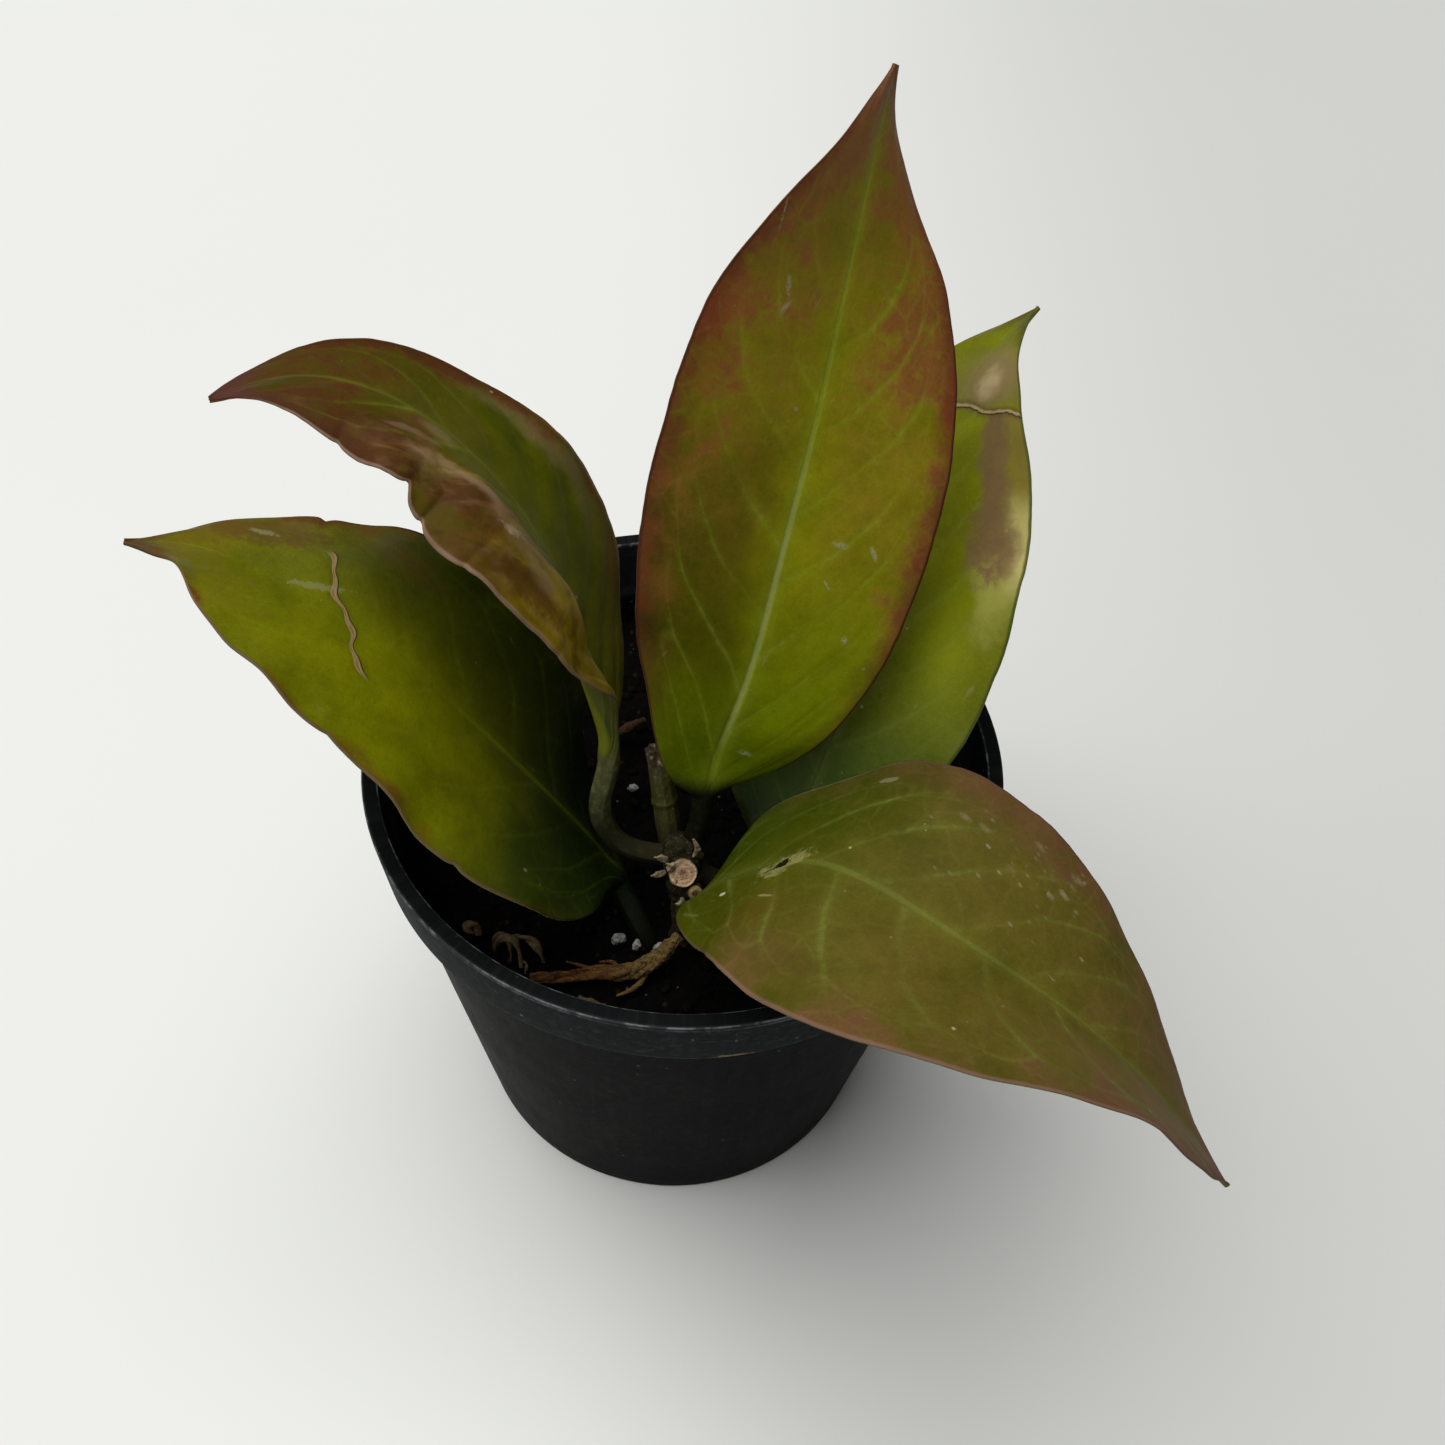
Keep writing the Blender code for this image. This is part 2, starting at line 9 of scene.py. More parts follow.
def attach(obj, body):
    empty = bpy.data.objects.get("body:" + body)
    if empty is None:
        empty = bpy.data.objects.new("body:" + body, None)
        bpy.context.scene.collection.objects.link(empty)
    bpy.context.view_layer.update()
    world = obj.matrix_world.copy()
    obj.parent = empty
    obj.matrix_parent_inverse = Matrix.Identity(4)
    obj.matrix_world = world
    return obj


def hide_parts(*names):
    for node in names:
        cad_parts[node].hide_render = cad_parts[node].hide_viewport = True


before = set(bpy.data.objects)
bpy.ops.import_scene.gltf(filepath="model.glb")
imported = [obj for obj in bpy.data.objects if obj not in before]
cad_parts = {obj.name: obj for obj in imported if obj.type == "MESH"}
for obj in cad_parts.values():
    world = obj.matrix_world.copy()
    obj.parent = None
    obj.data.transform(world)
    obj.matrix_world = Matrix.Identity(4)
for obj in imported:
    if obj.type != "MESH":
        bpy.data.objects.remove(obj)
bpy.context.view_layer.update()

MM = 0.001
rng = np.random.default_rng(2611)
scene = bpy.context.scene


# ===================================================================== colour
def lin(c):
    c = c / 255.0
    return c / 12.92 if c <= 0.04045 else ((c + 0.055) / 1.055) ** 2.4


def rgb(text):
    """A colour written as six hex digits, as linear red, green, blue, alpha."""
    return (lin(int(text[0:2], 16)), lin(int(text[2:4], 16)), lin(int(text[4:6], 16)), 1.0)


# ============================================================ node arithmetic
class Ex:
    """A number that a shader works out, so masks can be written as sums."""

    def __init__(self, nt, src):
        self.nt, self.src = nt, src

    def math(self, op, *others, clamp=False):
        n = self.nt.nodes.new("ShaderNodeMath")
        n.operation = op
        n.use_clamp = clamp
        for i, o in enumerate((self,) + others):
            o = o.src if isinstance(o, Ex) else o
            if isinstance(o, (int, float)):
                n.inputs[i].default_value = o
            else:
                self.nt.links.new(o, n.inputs[i])
        return Ex(self.nt, n.outputs[0])

    def __add__(self, o): return self.math("ADD", o)
    __radd__ = __add__
    def __mul__(self, o): return self.math("MULTIPLY", o)
    __rmul__ = __mul__
    def __sub__(self, o): return self.math("SUBTRACT", o)
    def __rsub__(self, o): return Ex(self.nt, float(o)).math("SUBTRACT", self)
    def __truediv__(self, o): return self.math("DIVIDE", o)
    def __rtruediv__(self, o): return Ex(self.nt, float(o)).math("DIVIDE", self)
    def __pow__(self, o): return self.math("POWER", o)
    def abs(self): return self.math("ABSOLUTE")
    def sin(self): return self.math("SINE")
    def fract(self): return self.math("FRACT")
    def floor(self): return self.math("FLOOR")
    def sqrt(self): return self.math("SQRT")
    def least(self, o): return self.math("MINIMUM", o)
    def most(self, o): return self.math("MAXIMUM", o)
    def below(self, o): return self.math("LESS_THAN", o)
    def above(self, o): return self.math("GREATER_THAN", o)
    def clip(self): return self.math("ADD", 0.0, clamp=True)

    def step(self, a, b, lo=0.0, hi=1.0):
        """Smooth step from lo at a to hi at b."""
        n = self.nt.nodes.new("ShaderNodeMapRange")
        n.interpolation_type = "SMOOTHSTEP"
        if a > b:
            a, b, lo, hi = b, a, hi, lo
        for i, v in ((1, a), (2, b), (3, lo), (4, hi)):
            n.inputs[i].default_value = v
        self.nt.links.new(self.src, n.inputs[0])
        return Ex(self.nt, n.outputs[0])


class Shader:
    def __init__(self, name):
        self.mat = bpy.data.materials.new(name)
        self.mat.use_nodes = True
        self.nt = self.mat.node_tree
        self.b = self.nt.nodes["Principled BSDF"]
        self.co = None

    def uv(self, layer):
        n = self.nt.nodes.new("ShaderNodeUVMap")
        n.uv_map = layer
        s = self.nt.nodes.new("ShaderNodeSeparateXYZ")
        self.nt.links.new(n.outputs[0], s.inputs[0])
        return Ex(self.nt, s.outputs[0]), Ex(self.nt, s.outputs[1])

    def place(self):
        """Position in the piece's own space, in millimetres."""
        if self.co is None:
            t = self.nt.nodes.new("ShaderNodeTexCoord")
            m = self.nt.nodes.new("ShaderNodeVectorMath")
            m.operation = "SCALE"
            m.inputs["Scale"].default_value = 1000.0
            self.nt.links.new(t.outputs["Object"], m.inputs[0])
            self.co = m.outputs[0]
        return self.co

    def xyz(self):
        s = self.nt.nodes.new("ShaderNodeSeparateXYZ")
        self.nt.links.new(self.place(), s.inputs[0])
        return tuple(Ex(self.nt, s.outputs[i]) for i in range(3))

    def vec(self, x, y, z=0.0):
        n = self.nt.nodes.new("ShaderNodeCombineXYZ")
        for i, o in enumerate((x, y, z)):
            if isinstance(o, Ex):
                self.nt.links.new(o.src, n.inputs[i])
            else:
                n.inputs[i].default_value = o
        return n.outputs[0]

    def shift(self, vector, offset, stretch=(1, 1, 1)):
        n = self.nt.nodes.new("ShaderNodeMapping")
        n.inputs["Location"].default_value = offset
        n.inputs["Scale"].default_value = stretch
        self.nt.links.new(vector, n.inputs["Vector"])
        return n.outputs[0]

    def noise(self, size, detail=3.0, rough=0.55, vector=None, distort=0.0, offset=None, stretch=(1, 1, 1)):
        """Noise with features about size mm across, 0 to 1."""
        v = vector if vector is not None else self.place()
        if offset is not None or stretch != (1, 1, 1):
            v = self.shift(v, offset or (0, 0, 0), stretch)
        n = self.nt.nodes.new("ShaderNodeTexNoise")
        n.inputs["Scale"].default_value = 1.0 / size
        n.inputs["Detail"].default_value = detail
        n.inputs["Roughness"].default_value = rough
        n.inputs["Distortion"].default_value = distort
        self.nt.links.new(v, n.inputs["Vector"])
        return Ex(self.nt, n.outputs["Fac"])

    def cells(self, size, feature="F1", vector=None, random=1.0, offset=None, stretch=(1, 1, 1), dims="3D"):
        v = vector if vector is not None else self.place()
        if offset is not None or stretch != (1, 1, 1):
            v = self.shift(v, offset or (0, 0, 0), stretch)
        n = self.nt.nodes.new("ShaderNodeTexVoronoi")
        n.voronoi_dimensions = dims
        n.feature = feature
        n.inputs["Scale"].default_value = 1.0 / size
        n.inputs["Randomness"].default_value = random
        self.nt.links.new(v, n.inputs["Vector"])
        d = Ex(self.nt, n.outputs["Distance"])
        if feature == "F1":
            s = self.nt.nodes.new("ShaderNodeSeparateXYZ")
            self.nt.links.new(n.outputs["Color"], s.inputs[0])
            return d, Ex(self.nt, s.outputs[0]), Ex(self.nt, s.outputs[1])
        return d

    def mix(self, fac, a, b, blend="MIX"):
        n = self.nt.nodes.new("ShaderNodeMix")
        n.data_type = "RGBA"
        n.blend_type = blend
        n.clamp_factor = True
        if isinstance(fac, Ex):
            self.nt.links.new(fac.src, n.inputs[0])
        else:
            n.inputs[0].default_value = fac
        for i, c in ((6, a), (7, b)):
            if isinstance(c, tuple):
                n.inputs[i].default_value = c
            else:
                self.nt.links.new(c, n.inputs[i])
        return n.outputs[2]

    def gain(self, colour, amount):
        """Colour times a number."""
        n = self.nt.nodes.new("ShaderNodeVectorMath")
        n.operation = "SCALE"
        self.nt.links.new(colour, n.inputs[0])
        self.nt.links.new(amount.src, n.inputs["Scale"])
        return n.outputs[0]

    def colour(self, c): self.nt.links.new(c, self.b.inputs["Base Color"])

    def rough(self, e): self.nt.links.new(e.src, self.b.inputs["Roughness"])

    def set(self, **kw):
        for k, v in kw.items():
            self.b.inputs[k.replace("_", " ")].default_value = v

    def bump(self, height_mm, strength=1.0, before=None):
        """Surface relief from a height in millimetres."""
        n = self.nt.nodes.new("ShaderNodeBump")
        n.inputs["Strength"].default_value = strength
        n.inputs["Distance"].default_value = MM
        self.nt.links.new(height_mm.src, n.inputs["Height"])
        if before is not None:
            self.nt.links.new(before, n.inputs["Normal"])
        self.nt.links.new(n.outputs[0], self.b.inputs["Normal"])
        return n.outputs[0]


# ============================================================ mesh arithmetic
def cubic(knots, values, x):
    """Natural cubic spline through values at knots, read at x."""
    knots = np.asarray(knots, float)
    y = np.asarray(values, float)
    flat = y.ndim == 1
    if flat:
        y = y[:, None]
    n = len(knots)
    h = np.diff(knots)
    a = np.eye(n)
    b = np.zeros((n, y.shape[1]))
    for i in range(1, n - 1):
        a[i, i - 1:i + 2] = (h[i - 1], 2 * (h[i - 1] + h[i]), h[i])
        b[i] = 6 * ((y[i + 1] - y[i]) / h[i] - (y[i] - y[i - 1]) / h[i - 1])
    m = np.linalg.solve(a, b)
    x = np.atleast_1d(np.asarray(x, float))
    i = np.clip(np.searchsorted(knots, x) - 1, 0, n - 2)
    p = (knots[i + 1] - x)[:, None]
    q = (x - knots[i])[:, None]
    hh = h[i][:, None]
    r = ((m[i] * p ** 3 + m[i + 1] * q ** 3) / (6 * hh)
         + (y[i] / hh - m[i] * hh / 6) * p + (y[i + 1] / hh - m[i + 1] * hh / 6) * q)
    return r[:, 0] if flat else r


def even(values, t):
    return cubic(np.linspace(0, 1, len(values)), values, t)


def unit(v):
    return v / np.maximum(np.linalg.norm(v, axis=-1, keepdims=True), 1e-12)


def chord_lengths(points):
    d = np.linalg.norm(np.diff(points, axis=0), axis=1)
    return np.concatenate([[0.0], np.cumsum(d)])


def ease(x, a, b):
    t = np.clip((x - a) / (b - a), 0, 1)
    return t * t * (3 - 2 * t)


def lattice(i, j, k, seed):
    h = (i * 374761393 + j * 668265263 + k * 2147483647 + seed * 1274126177) & 0xFFFFFFFF
    h = ((h ^ (h >> 13)) * 1103515245) & 0xFFFFFFFF
    h = ((h ^ (h >> 16)) * 2246822519) & 0xFFFFFFFF
    return ((h ^ (h >> 15)) & 0xFFFFFF) / float(0xFFFFFF) * 2 - 1


def lumps(p, size, seed=0, octaves=3, rough=0.5):
    """Smooth noise, about -1 to 1, with lumps about size across, at points p."""
    p = np.asarray(p, float)
    total = np.zeros(p.shape[:-1])
    amp, norm = 1.0, 0.0
    for o in range(octaves):
        q = p / size * (2 ** o) + 31.7 * (o + 1)
        b = np.floor(q).astype(np.int64)
        f = q - b
        f = f * f * (3 - 2 * f)
        acc = 0
        for di in (0, 1):
            wi = f[..., 0] if di else 1 - f[..., 0]
            for dj in (0, 1):
                wj = f[..., 1] if dj else 1 - f[..., 1]
                for dk in (0, 1):
                    wk = f[..., 2] if dk else 1 - f[..., 2]
                    acc = acc + wi * wj * wk * lattice(b[..., 0] + di, b[..., 1] + dj, b[..., 2] + dk, seed + o)
        total += amp * acc
        norm += amp
        amp *= rough
    return total / norm


def new_piece(name, verts, faces, mat, slot_name, replaced, uvs=None, smooth=True, more=()):
    """Make one object from points in mm, and let it stand for CAD nodes."""
    mesh = bpy.data.meshes.new(name)
    mesh.from_pydata([], [], [])
    v = np.asarray(verts, float) * MM
    faces = [np.asarray(f, dtype=np.int64) for f in faces]
    mesh.vertices.add(len(v))
    mesh.vertices.foreach_set("co", v.ravel())
    loops = np.concatenate([f.ravel() for f in faces])
    starts, totals, at = [], [], 0
    for f in faces:
        k = f.shape[1]
        starts.append(at + np.arange(len(f)) * k)
        totals.append(np.full(len(f), k))
        at += f.size
    starts, totals = np.concatenate(starts), np.concatenate(totals)
    mesh.loops.add(len(loops))
    mesh.loops.foreach_set("vertex_index", loops)
    mesh.polygons.add(len(starts))
    mesh.polygons.foreach_set("loop_start", starts)
    mesh.polygons.foreach_set("loop_total", totals)
    mesh.update(calc_edges=True)
    for layer, data in (uvs or {}).items():
        u = mesh.uv_layers.new(name=layer)
        u.data.foreach_set("uv", np.asarray(data, float)[loops].ravel())
    mesh.validate()
    if smooth:
        mesh.shade_smooth()
    ob = bpy.data.objects.new(name, mesh)
    scene.collection.objects.link(ob)
    mesh.materials.append(mat)
    for m in more:
        mesh.materials.append(m)
    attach(ob, "root")
    if replaced:
        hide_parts(*replaced)
    return ob


def ring_faces(rows, cols, closed=True, offset=0):
    """Quads joining a grid of rows of points; each row closes on itself."""
    i = np.arange(rows - 1)[:, None]
    j = np.arange(cols if closed else cols - 1)[None]
    a = i * cols + j
    b = i * cols + (j + 1) % cols
    return np.stack([a, b, b + cols, a + cols], -1).reshape(-1, 4) + offset


def fan(centre, ring, flip=False):
    ring = np.asarray(ring)
    nxt = np.roll(ring, -1)
    tri = np.stack([np.full(len(ring), centre), ring, nxt], -1)
    return tri[:, ::-1] if flip else tri


# ===================================================================== leaves
def leaf_outline(s, shape):
    p, q, draw, reach = shape
    s = np.clip(s, 0, 1)
    top = (p / (p + q)) ** p * (q / (p + q)) ** q
    return s ** p * (1 - s) ** q / top * (1 - draw * np.exp(-(1 - s) / reach))


PETIOLE_RADIUS = 1.3
BLADE_HALF_THICKNESS = 0.55
TIP_RADIUS = 0.22


def vein_coordinate(along, v, length, side_shift):
    """Counts the side veins: whole numbers lie on a vein. They leave the
    midrib at a slant and bend towards the tip near the margin."""
    return ((along - length * (0.13 * v + 0.13 * v ** 3)) / (length / 9.5) + side_shift)


def build_leaf(name, mat, slot_name, petiole, midrib, across, roll, half_width, left, right,
               fold, curl, shape, waves=(), ridges=(), base=None, roll_over=(0, 0), seed=1, relief=1.0,
               humps=None, edge_nick=0.012, notches=(), rows=250, cols=72):
    pts = np.asarray(list(petiole) + list(midrib), float)
    c = chord_lengths(pts)
    c0 = c[len(petiole)]
    length = c[-1] - c0
    theta = np.linspace(0, 1, rows)
    s = (1 - np.cos(np.pi * theta)) / 2
    s = (0.55 * s + 0.45 * theta)[1:]
    n_pet = max(14, int(c0 / 0.45))
    dist = np.concatenate([np.linspace(0, c0, n_pet), c0 + s * length])
    sb = np.clip((dist - c0) / length, 0, 1)
    mid = cubic(c, pts, dist)
    eps = 0.05
    tan = unit(cubic(c, pts, np.minimum(dist + eps, c[-1])) - cubic(c, pts, np.maximum(dist - eps, 0)))
    across = unit(np.asarray(across, float))
    a0 = unit(across - (tan @ across)[:, None] * tan)
    r = np.radians(even(roll, sb))[:, None]
    n0 = np.cross(a0, tan)
    side = a0 * np.cos(r) + n0 * np.sin(r)
    up = np.cross(side, tan)

    on_blade = (dist >= c0)
    along = (dist - c0)
    taper = PETIOLE_RADIUS * (1 - sb) ** 1.5 + TIP_RADIUS * sb
    taper = taper * (1 + 0.05 * lumps(np.stack([dist, 0 * dist, 0 * dist], -1), 2.2, seed, 2) * ~on_blade)
    body = half_width * leaf_outline(sb, shape) * on_blade
    merge = ease(sb, 0, 0.07)
    thick = (PETIOLE_RADIUS * (1 - merge)
             + (BLADE_HALF_THICKNESS + (TIP_RADIUS - BLADE_HALF_THICKNESS) * np.clip((sb - 0.85) / 0.15, 0, 1)) * merge)
    power = 1.0 - 0.5 * merge

    R = len(dist)
    q = np.linspace(0, 1, 65)
    alpha = math.pi * (1 - (np.arange(cols) + 0.5) / cols)
    # columns are a little denser at the margin and at the midrib
    v_all = np.cos(alpha) / math.cos(math.pi / (2 * cols))
    v_all = 0.45 * v_all + 0.55 * np.sign(v_all) * (1 - np.abs(alpha - math.pi * (v_all < 0)) / (math.pi / 2))
    v_all = v_all / np.abs(v_all).max()
    P = np.zeros((R, cols, 3))
    NRM = np.zeros((R, cols, 3))
    X = np.zeros((R, cols))
    for k, (sg, mult) in enumerate(((-1, left), (1, right))):
        start = 1.0 if not base else 1 - np.exp(-(sb / base[k][0]) ** base[k][1])
        nick = 1 + edge_nick * lumps(np.stack([along, 0 * along + 9 * k, 0 * along], -1), 4.5, seed + 3, 4, 0.6)
        for wside, centre, depth, reach in notches:
            if wside == sg:
                nick = nick - depth * np.exp(-np.abs((sb - centre) / reach) ** 1.4)
        w = np.hypot(body * start * even(mult, sb) * nick, taper)
        f = np.radians(even(fold[k], sb)) * merge
        if k == 0 and roll_over[0]:
            f = f + math.radians(roll_over[0]) * np.exp(-(sb / roll_over[1]) ** 2) * merge
        u = np.radians(even(curl[k], sb)) * merge
        ang = f[:, None] * (1 - np.exp(-q / 0.07))[None] + u[:, None] * q[None]
        cx = np.concatenate([np.zeros((R, 1)), np.cumsum((np.cos(ang[:, 1:]) + np.cos(ang[:, :-1])) / 2, 1)], 1) * (q[1])
        cy = np.concatenate([np.zeros((R, 1)), np.cumsum((np.sin(ang[:, 1:]) + np.sin(ang[:, :-1])) / 2, 1)], 1) * (q[1])
        cs = np.where(v_all < 0)[0] if sg < 0 else np.where(v_all >= 0)[0]
        for j in cs:
            d = abs(v_all[j])
            i0 = min(int(d * 64), 63)
            t = d * 64 - i0
            x = (cx[:, i0] * (1 - t) + cx[:, i0 + 1] * t) * w
            y = (cy[:, i0] * (1 - t) + cy[:, i0 + 1] * t) * w
            end = ang[:, i0] * (1 - t) + ang[:, i0 + 1] * t
            for wside, centre, reach, height, rise in waves:
                if wside == sg:
                    y = y + merge * height * d ** rise * np.exp(-((sb - centre) / reach) ** 2)
            for wside, centre, reach, height, crest in ridges:
                if wside == sg:
                    y = y + (height * np.exp(-((sb - centre) / reach) ** 2)
                             * math.exp(-((d - crest) / 0.26) ** 2))
            P[:, j] = mid + sg * x[:, None] * side + y[:, None] * up
            NRM[:, j] = np.cos(end)[:, None] * up - sg * np.sin(end)[:, None] * side
            X[:, j] = sg * d * w
    V = np.broadcast_to(v_all[None], (R, cols))
    A = np.broadcast_to(along[:, None], (R, cols))
    if humps is not None:
        lift = humps(np.broadcast_to(sb[:, None], (R, cols)), V, A, X) * merge[:, None]
        P = P + lift[..., None] * NRM
    # true normals of the middle surface, where the blade is wide enough
    du = np.gradient(P, axis=1)
    dv = np.gradient(P, axis=0)
    tn = unit(np.cross(du, dv))
    flip = np.sign((tn * NRM).sum(-1, keepdims=True))
    tn = tn * np.where(flip == 0, 1, flip)
    wide = ease(sb, 0.03, 0.10)[:, None, None]
    nrm = unit(tn * wide + NRM * (1 - wide))
    h = thick[:, None] * np.sin(alpha)[None] ** power[:, None]
    # relief: shallow valleys over the side veins, quilting between them, a
    # raised midrib below
    av = np.abs(V)
    cc = vein_coordinate(A, av, length, np.where(V < 0, 0.45, 0.0))
    near = 0.5 - np.abs(cc - np.floor(cc) - 0.5)
    fade = ease(av, 0.02, 0.12) * (1 - ease(av, 0.80, 0.97)) * merge[:, None] * (1 - ease(sb, 0.9, 1.0))[:, None]
    quilt = (np.sin(np.pi * np.clip(near * 2, 0, 1) / 1.0 * 0.5) - 0.55) * 0.16 * relief * fade
    uneven = 0.10 * relief * lumps(P, 4.0, seed + 11, 3) * merge[:, None]
    groove = -0.10 * np.exp(-(X / 0.55) ** 2) * (merge * (1 - sb))[:, None]
    keel = 0.62 * np.exp(-(X / 0.8) ** 2) * (merge * (1 - sb) ** 0.7)[:, None]
    skin = 0.02 * lumps(P, 0.9, seed + 17, 2)
    top = P + nrm * (h + quilt + uneven + groove + skin * merge[:, None])[..., None]
    low = P - nrm * (h - 0.8 * quilt - uneven + keel)[..., None]

    verts = np.concatenate([top, low[:, ::-1]], 1)          # (R, 2*cols, 3)
    n = 2 * cols
    faces = ring_faces(R, n)
    uvs = {}
    sv = np.broadcast_to(sb[:, None], (R, n))
    vv = np.concatenate([V, V[:, ::-1]], 1)
    mm_a = np.broadcast_to(along[:, None], (R, n))
    mm_x = np.concatenate([X, X[:, ::-1]], 1)
    topside = np.concatenate([np.ones((R, cols)), np.zeros((R, cols))], 1)
    petiole_mask = np.broadcast_to((1 - ease(along, -1.0, 4.5))[:, None], (R, n))
    flat = verts.reshape(-1, 3)
    ends = np.stack([mid[0], mid[-1]])
    allv = np.concatenate([flat, ends])
    k = len(flat)
    # orientation: make sure faces look outwards
    tri0 = fan(k, np.arange(n), flip=False)
    tri1 = fan(k + 1, np.arange((R - 1) * n, R * n), flip=True)

    def with_ends(a, b0, b1):
        return np.concatenate([a.reshape(-1), [b0, b1]])

    uvs["leafuv"] = np.stack([with_ends(sv, 0, 1), with_ends((vv + 1) / 2, 0.5, 0.5)], -1)
    uvs["leafmm"] = np.stack([with_ends(mm_a / 100 + 0.3, along[0] / 100 + 0.3, length / 100 + 0.3),
                              with_ends(mm_x / 100 + 0.5, 0.5, 0.5)], -1)
    uvs["leafside"] = np.stack([with_ends(topside, 0.5, 0.5), with_ends(petiole_mask, 1, 0)], -1)
    vol = signed_volume(allv, [faces, tri0, tri1])
    fs = [faces, tri0, tri1]
    if vol < 0:
        fs = [f[:, ::-1] for f in fs]
    return new_piece(name + "_skin", allv, fs, mat, slot_name, [name], uvs)


def signed_volume(v, faces):
    total = 0.0
    for f in faces:
        for k in range(1, f.shape[1] - 1):
            a, b, c = v[f[:, 0]], v[f[:, k]], v[f[:, k + 1]]
            total += (np.cross(a, b) * c).sum() / 6
    return total


def leaf_shader(name, length, deep, light, flush, tip, vein, under, flush_from=(0.45, 0.45), flush_gain=1.0,
                foot=0.35, tip_from=0.7, base_col=None, base_from=0.42, seed=0.0, vein_gain=1.0, mid_gain=1.0, edge="3a1c1c",
                painted_margin_highlights=(), zones=None, extra=None, fleck_gain=1.0, gloss=0.45, mottle=0.5, spec=0.24, ior=1.30,
                stalk=("23270c", "332b14", "4b4a28"), foot_painted_shade=0.85,
                rim=None, dusk=0.0, mid_start=0.0, mid_low=0.25, haze=0.0, net_to=2.0, net_gain=1.0, right_veins=1.0,
                slants=(0.17, 0.15, 0.17, 0.15), mid_wide=1.0, vein_end=(0.88, 0.70), net_from=0.0, mid_gap=None,
                rise=0.0, edge_foot=1.0):
    """Waxy leaf: green under a red-brown flush that grows towards the margin
    and the tip, faint pale veins, fine stippling, flecks and a dark margin."""
    sh = Shader(name)
    s, vu = sh.uv("leafuv")
    a, x = sh.uv("leafmm")
    top, pet = sh.uv("leafside")
    v = vu * 2.0 - 1.0
    a = (a - 0.3) * 100.0
    x = (x - 0.5) * 100.0
    av = v.abs()
    off = (seed * 13.1, seed * 7.7, seed * 3.3)
    big = sh.noise(14.0, 3.0, 0.5, offset=off)
    mid_n = sh.noise(4.5, 3.0, 0.55, offset=off)
    fine = sh.noise(0.9, 3.0, 0.6, offset=off)
    stipple = sh.noise(0.30, 2.0, 0.6, offset=off)
    blotch = sh.noise(2.0, 4.0, 0.65, offset=(off[0], off[1] + 31, off[2]), distort=0.5)

    # green ground: light and deep patches
    ground = sh.mix(((big - 0.5) * 1.8 + 0.5 + (mid_n - 0.5) * 1.0).clip(), rgb(deep), rgb(light))
    if base_col:
        near_base = s.step(base_from, 0.02) + (big - 0.5) * 0.5 * s.step(base_from, 0.1)
        ground = sh.mix(near_base.clip(), ground, rgb(base_col))
    m = dict(s=s, v=v, a=a, x=x, av=av, fine=fine, stipple=stipple, mid_n=mid_n, big=big, blotch=blotch)
    if zones is not None:
        ground = zones(sh, ground, m)
    # veins: side veins run forward in even curves and join near the margin
    wob = (sh.noise(9.0, 1.5, 0.4, offset=(off[0] + 5, off[1], off[2])) - 0.5)
    left_side = v.below(0.0)
    lin_l, cub_l, lin_r, cub_r = slants
    lean = (left_side * (lin_l - lin_r) + lin_r) * av + (left_side * (cub_l - cub_r) + cub_r) * av * av * av
    count = (a - lean * length) / (length / 9.5) + left_side * 0.45 + wob * 0.35
    count = count + (mid_n - 0.5) * 0.16
    cell = count.fract()
    near_mm = (0.5 - (cell - 0.5).abs()) * (length / 9.5) * 0.8
    strength = sh.noise(12.0, 2.0, 0.5, offset=(off[0], off[1] + 9, off[2])).step(0.32, 0.68)
    reach = av.step(0.015, 0.05) * av.step(0.86, 0.60) * s.step(*vein_end)
    sec = near_mm.step(0.46, 0.02) * reach * (0.55 + fine * 0.9)
    sec_soft = near_mm.step(1.2, 0.0) * reach
    arch = av - (0.70 + (cell * math.pi).sin() * 0.10) + wob * 0.10
    loops = (arch.abs() * (x.abs() / av.most(0.05))).step(0.42, 0.06) * s.step(0.03, 0.12) * s.step(0.92, 0.78)
    net_d = sh.cells(3.4, "DISTANCE_TO_EDGE", vector=sh.vec(a + wob * 2.4, x + (mid_n - 0.5) * 2.0, 0.0), dims="2D")
    net = net_d.step(0.10, 0.01) * (net_from and s.step(net_from, net_from + 0.25, 0.15, 1.0) or 1.0)
    midw = s.step(0.0, 1.0, 0.36 * mid_wide, 0.15 * mid_wide)
    mid_r = (x.abs() + (fine - 0.5) * 0.18) / midw
    midrib = mid_r.step(1.2, 0.35) * s.step(1.0, 0.88)
    mid_soft = mid_r.step(4.0, 0.6) * s.step(1.0, 0.80)
    if mid_gap:
        seen = 1.0 - s.step(mid_gap[0], mid_gap[0] + 0.12) * s.step(mid_gap[1] + 0.12, mid_gap[1]) * 0.85
        midrib, mid_soft = midrib * seen, mid_soft * seen

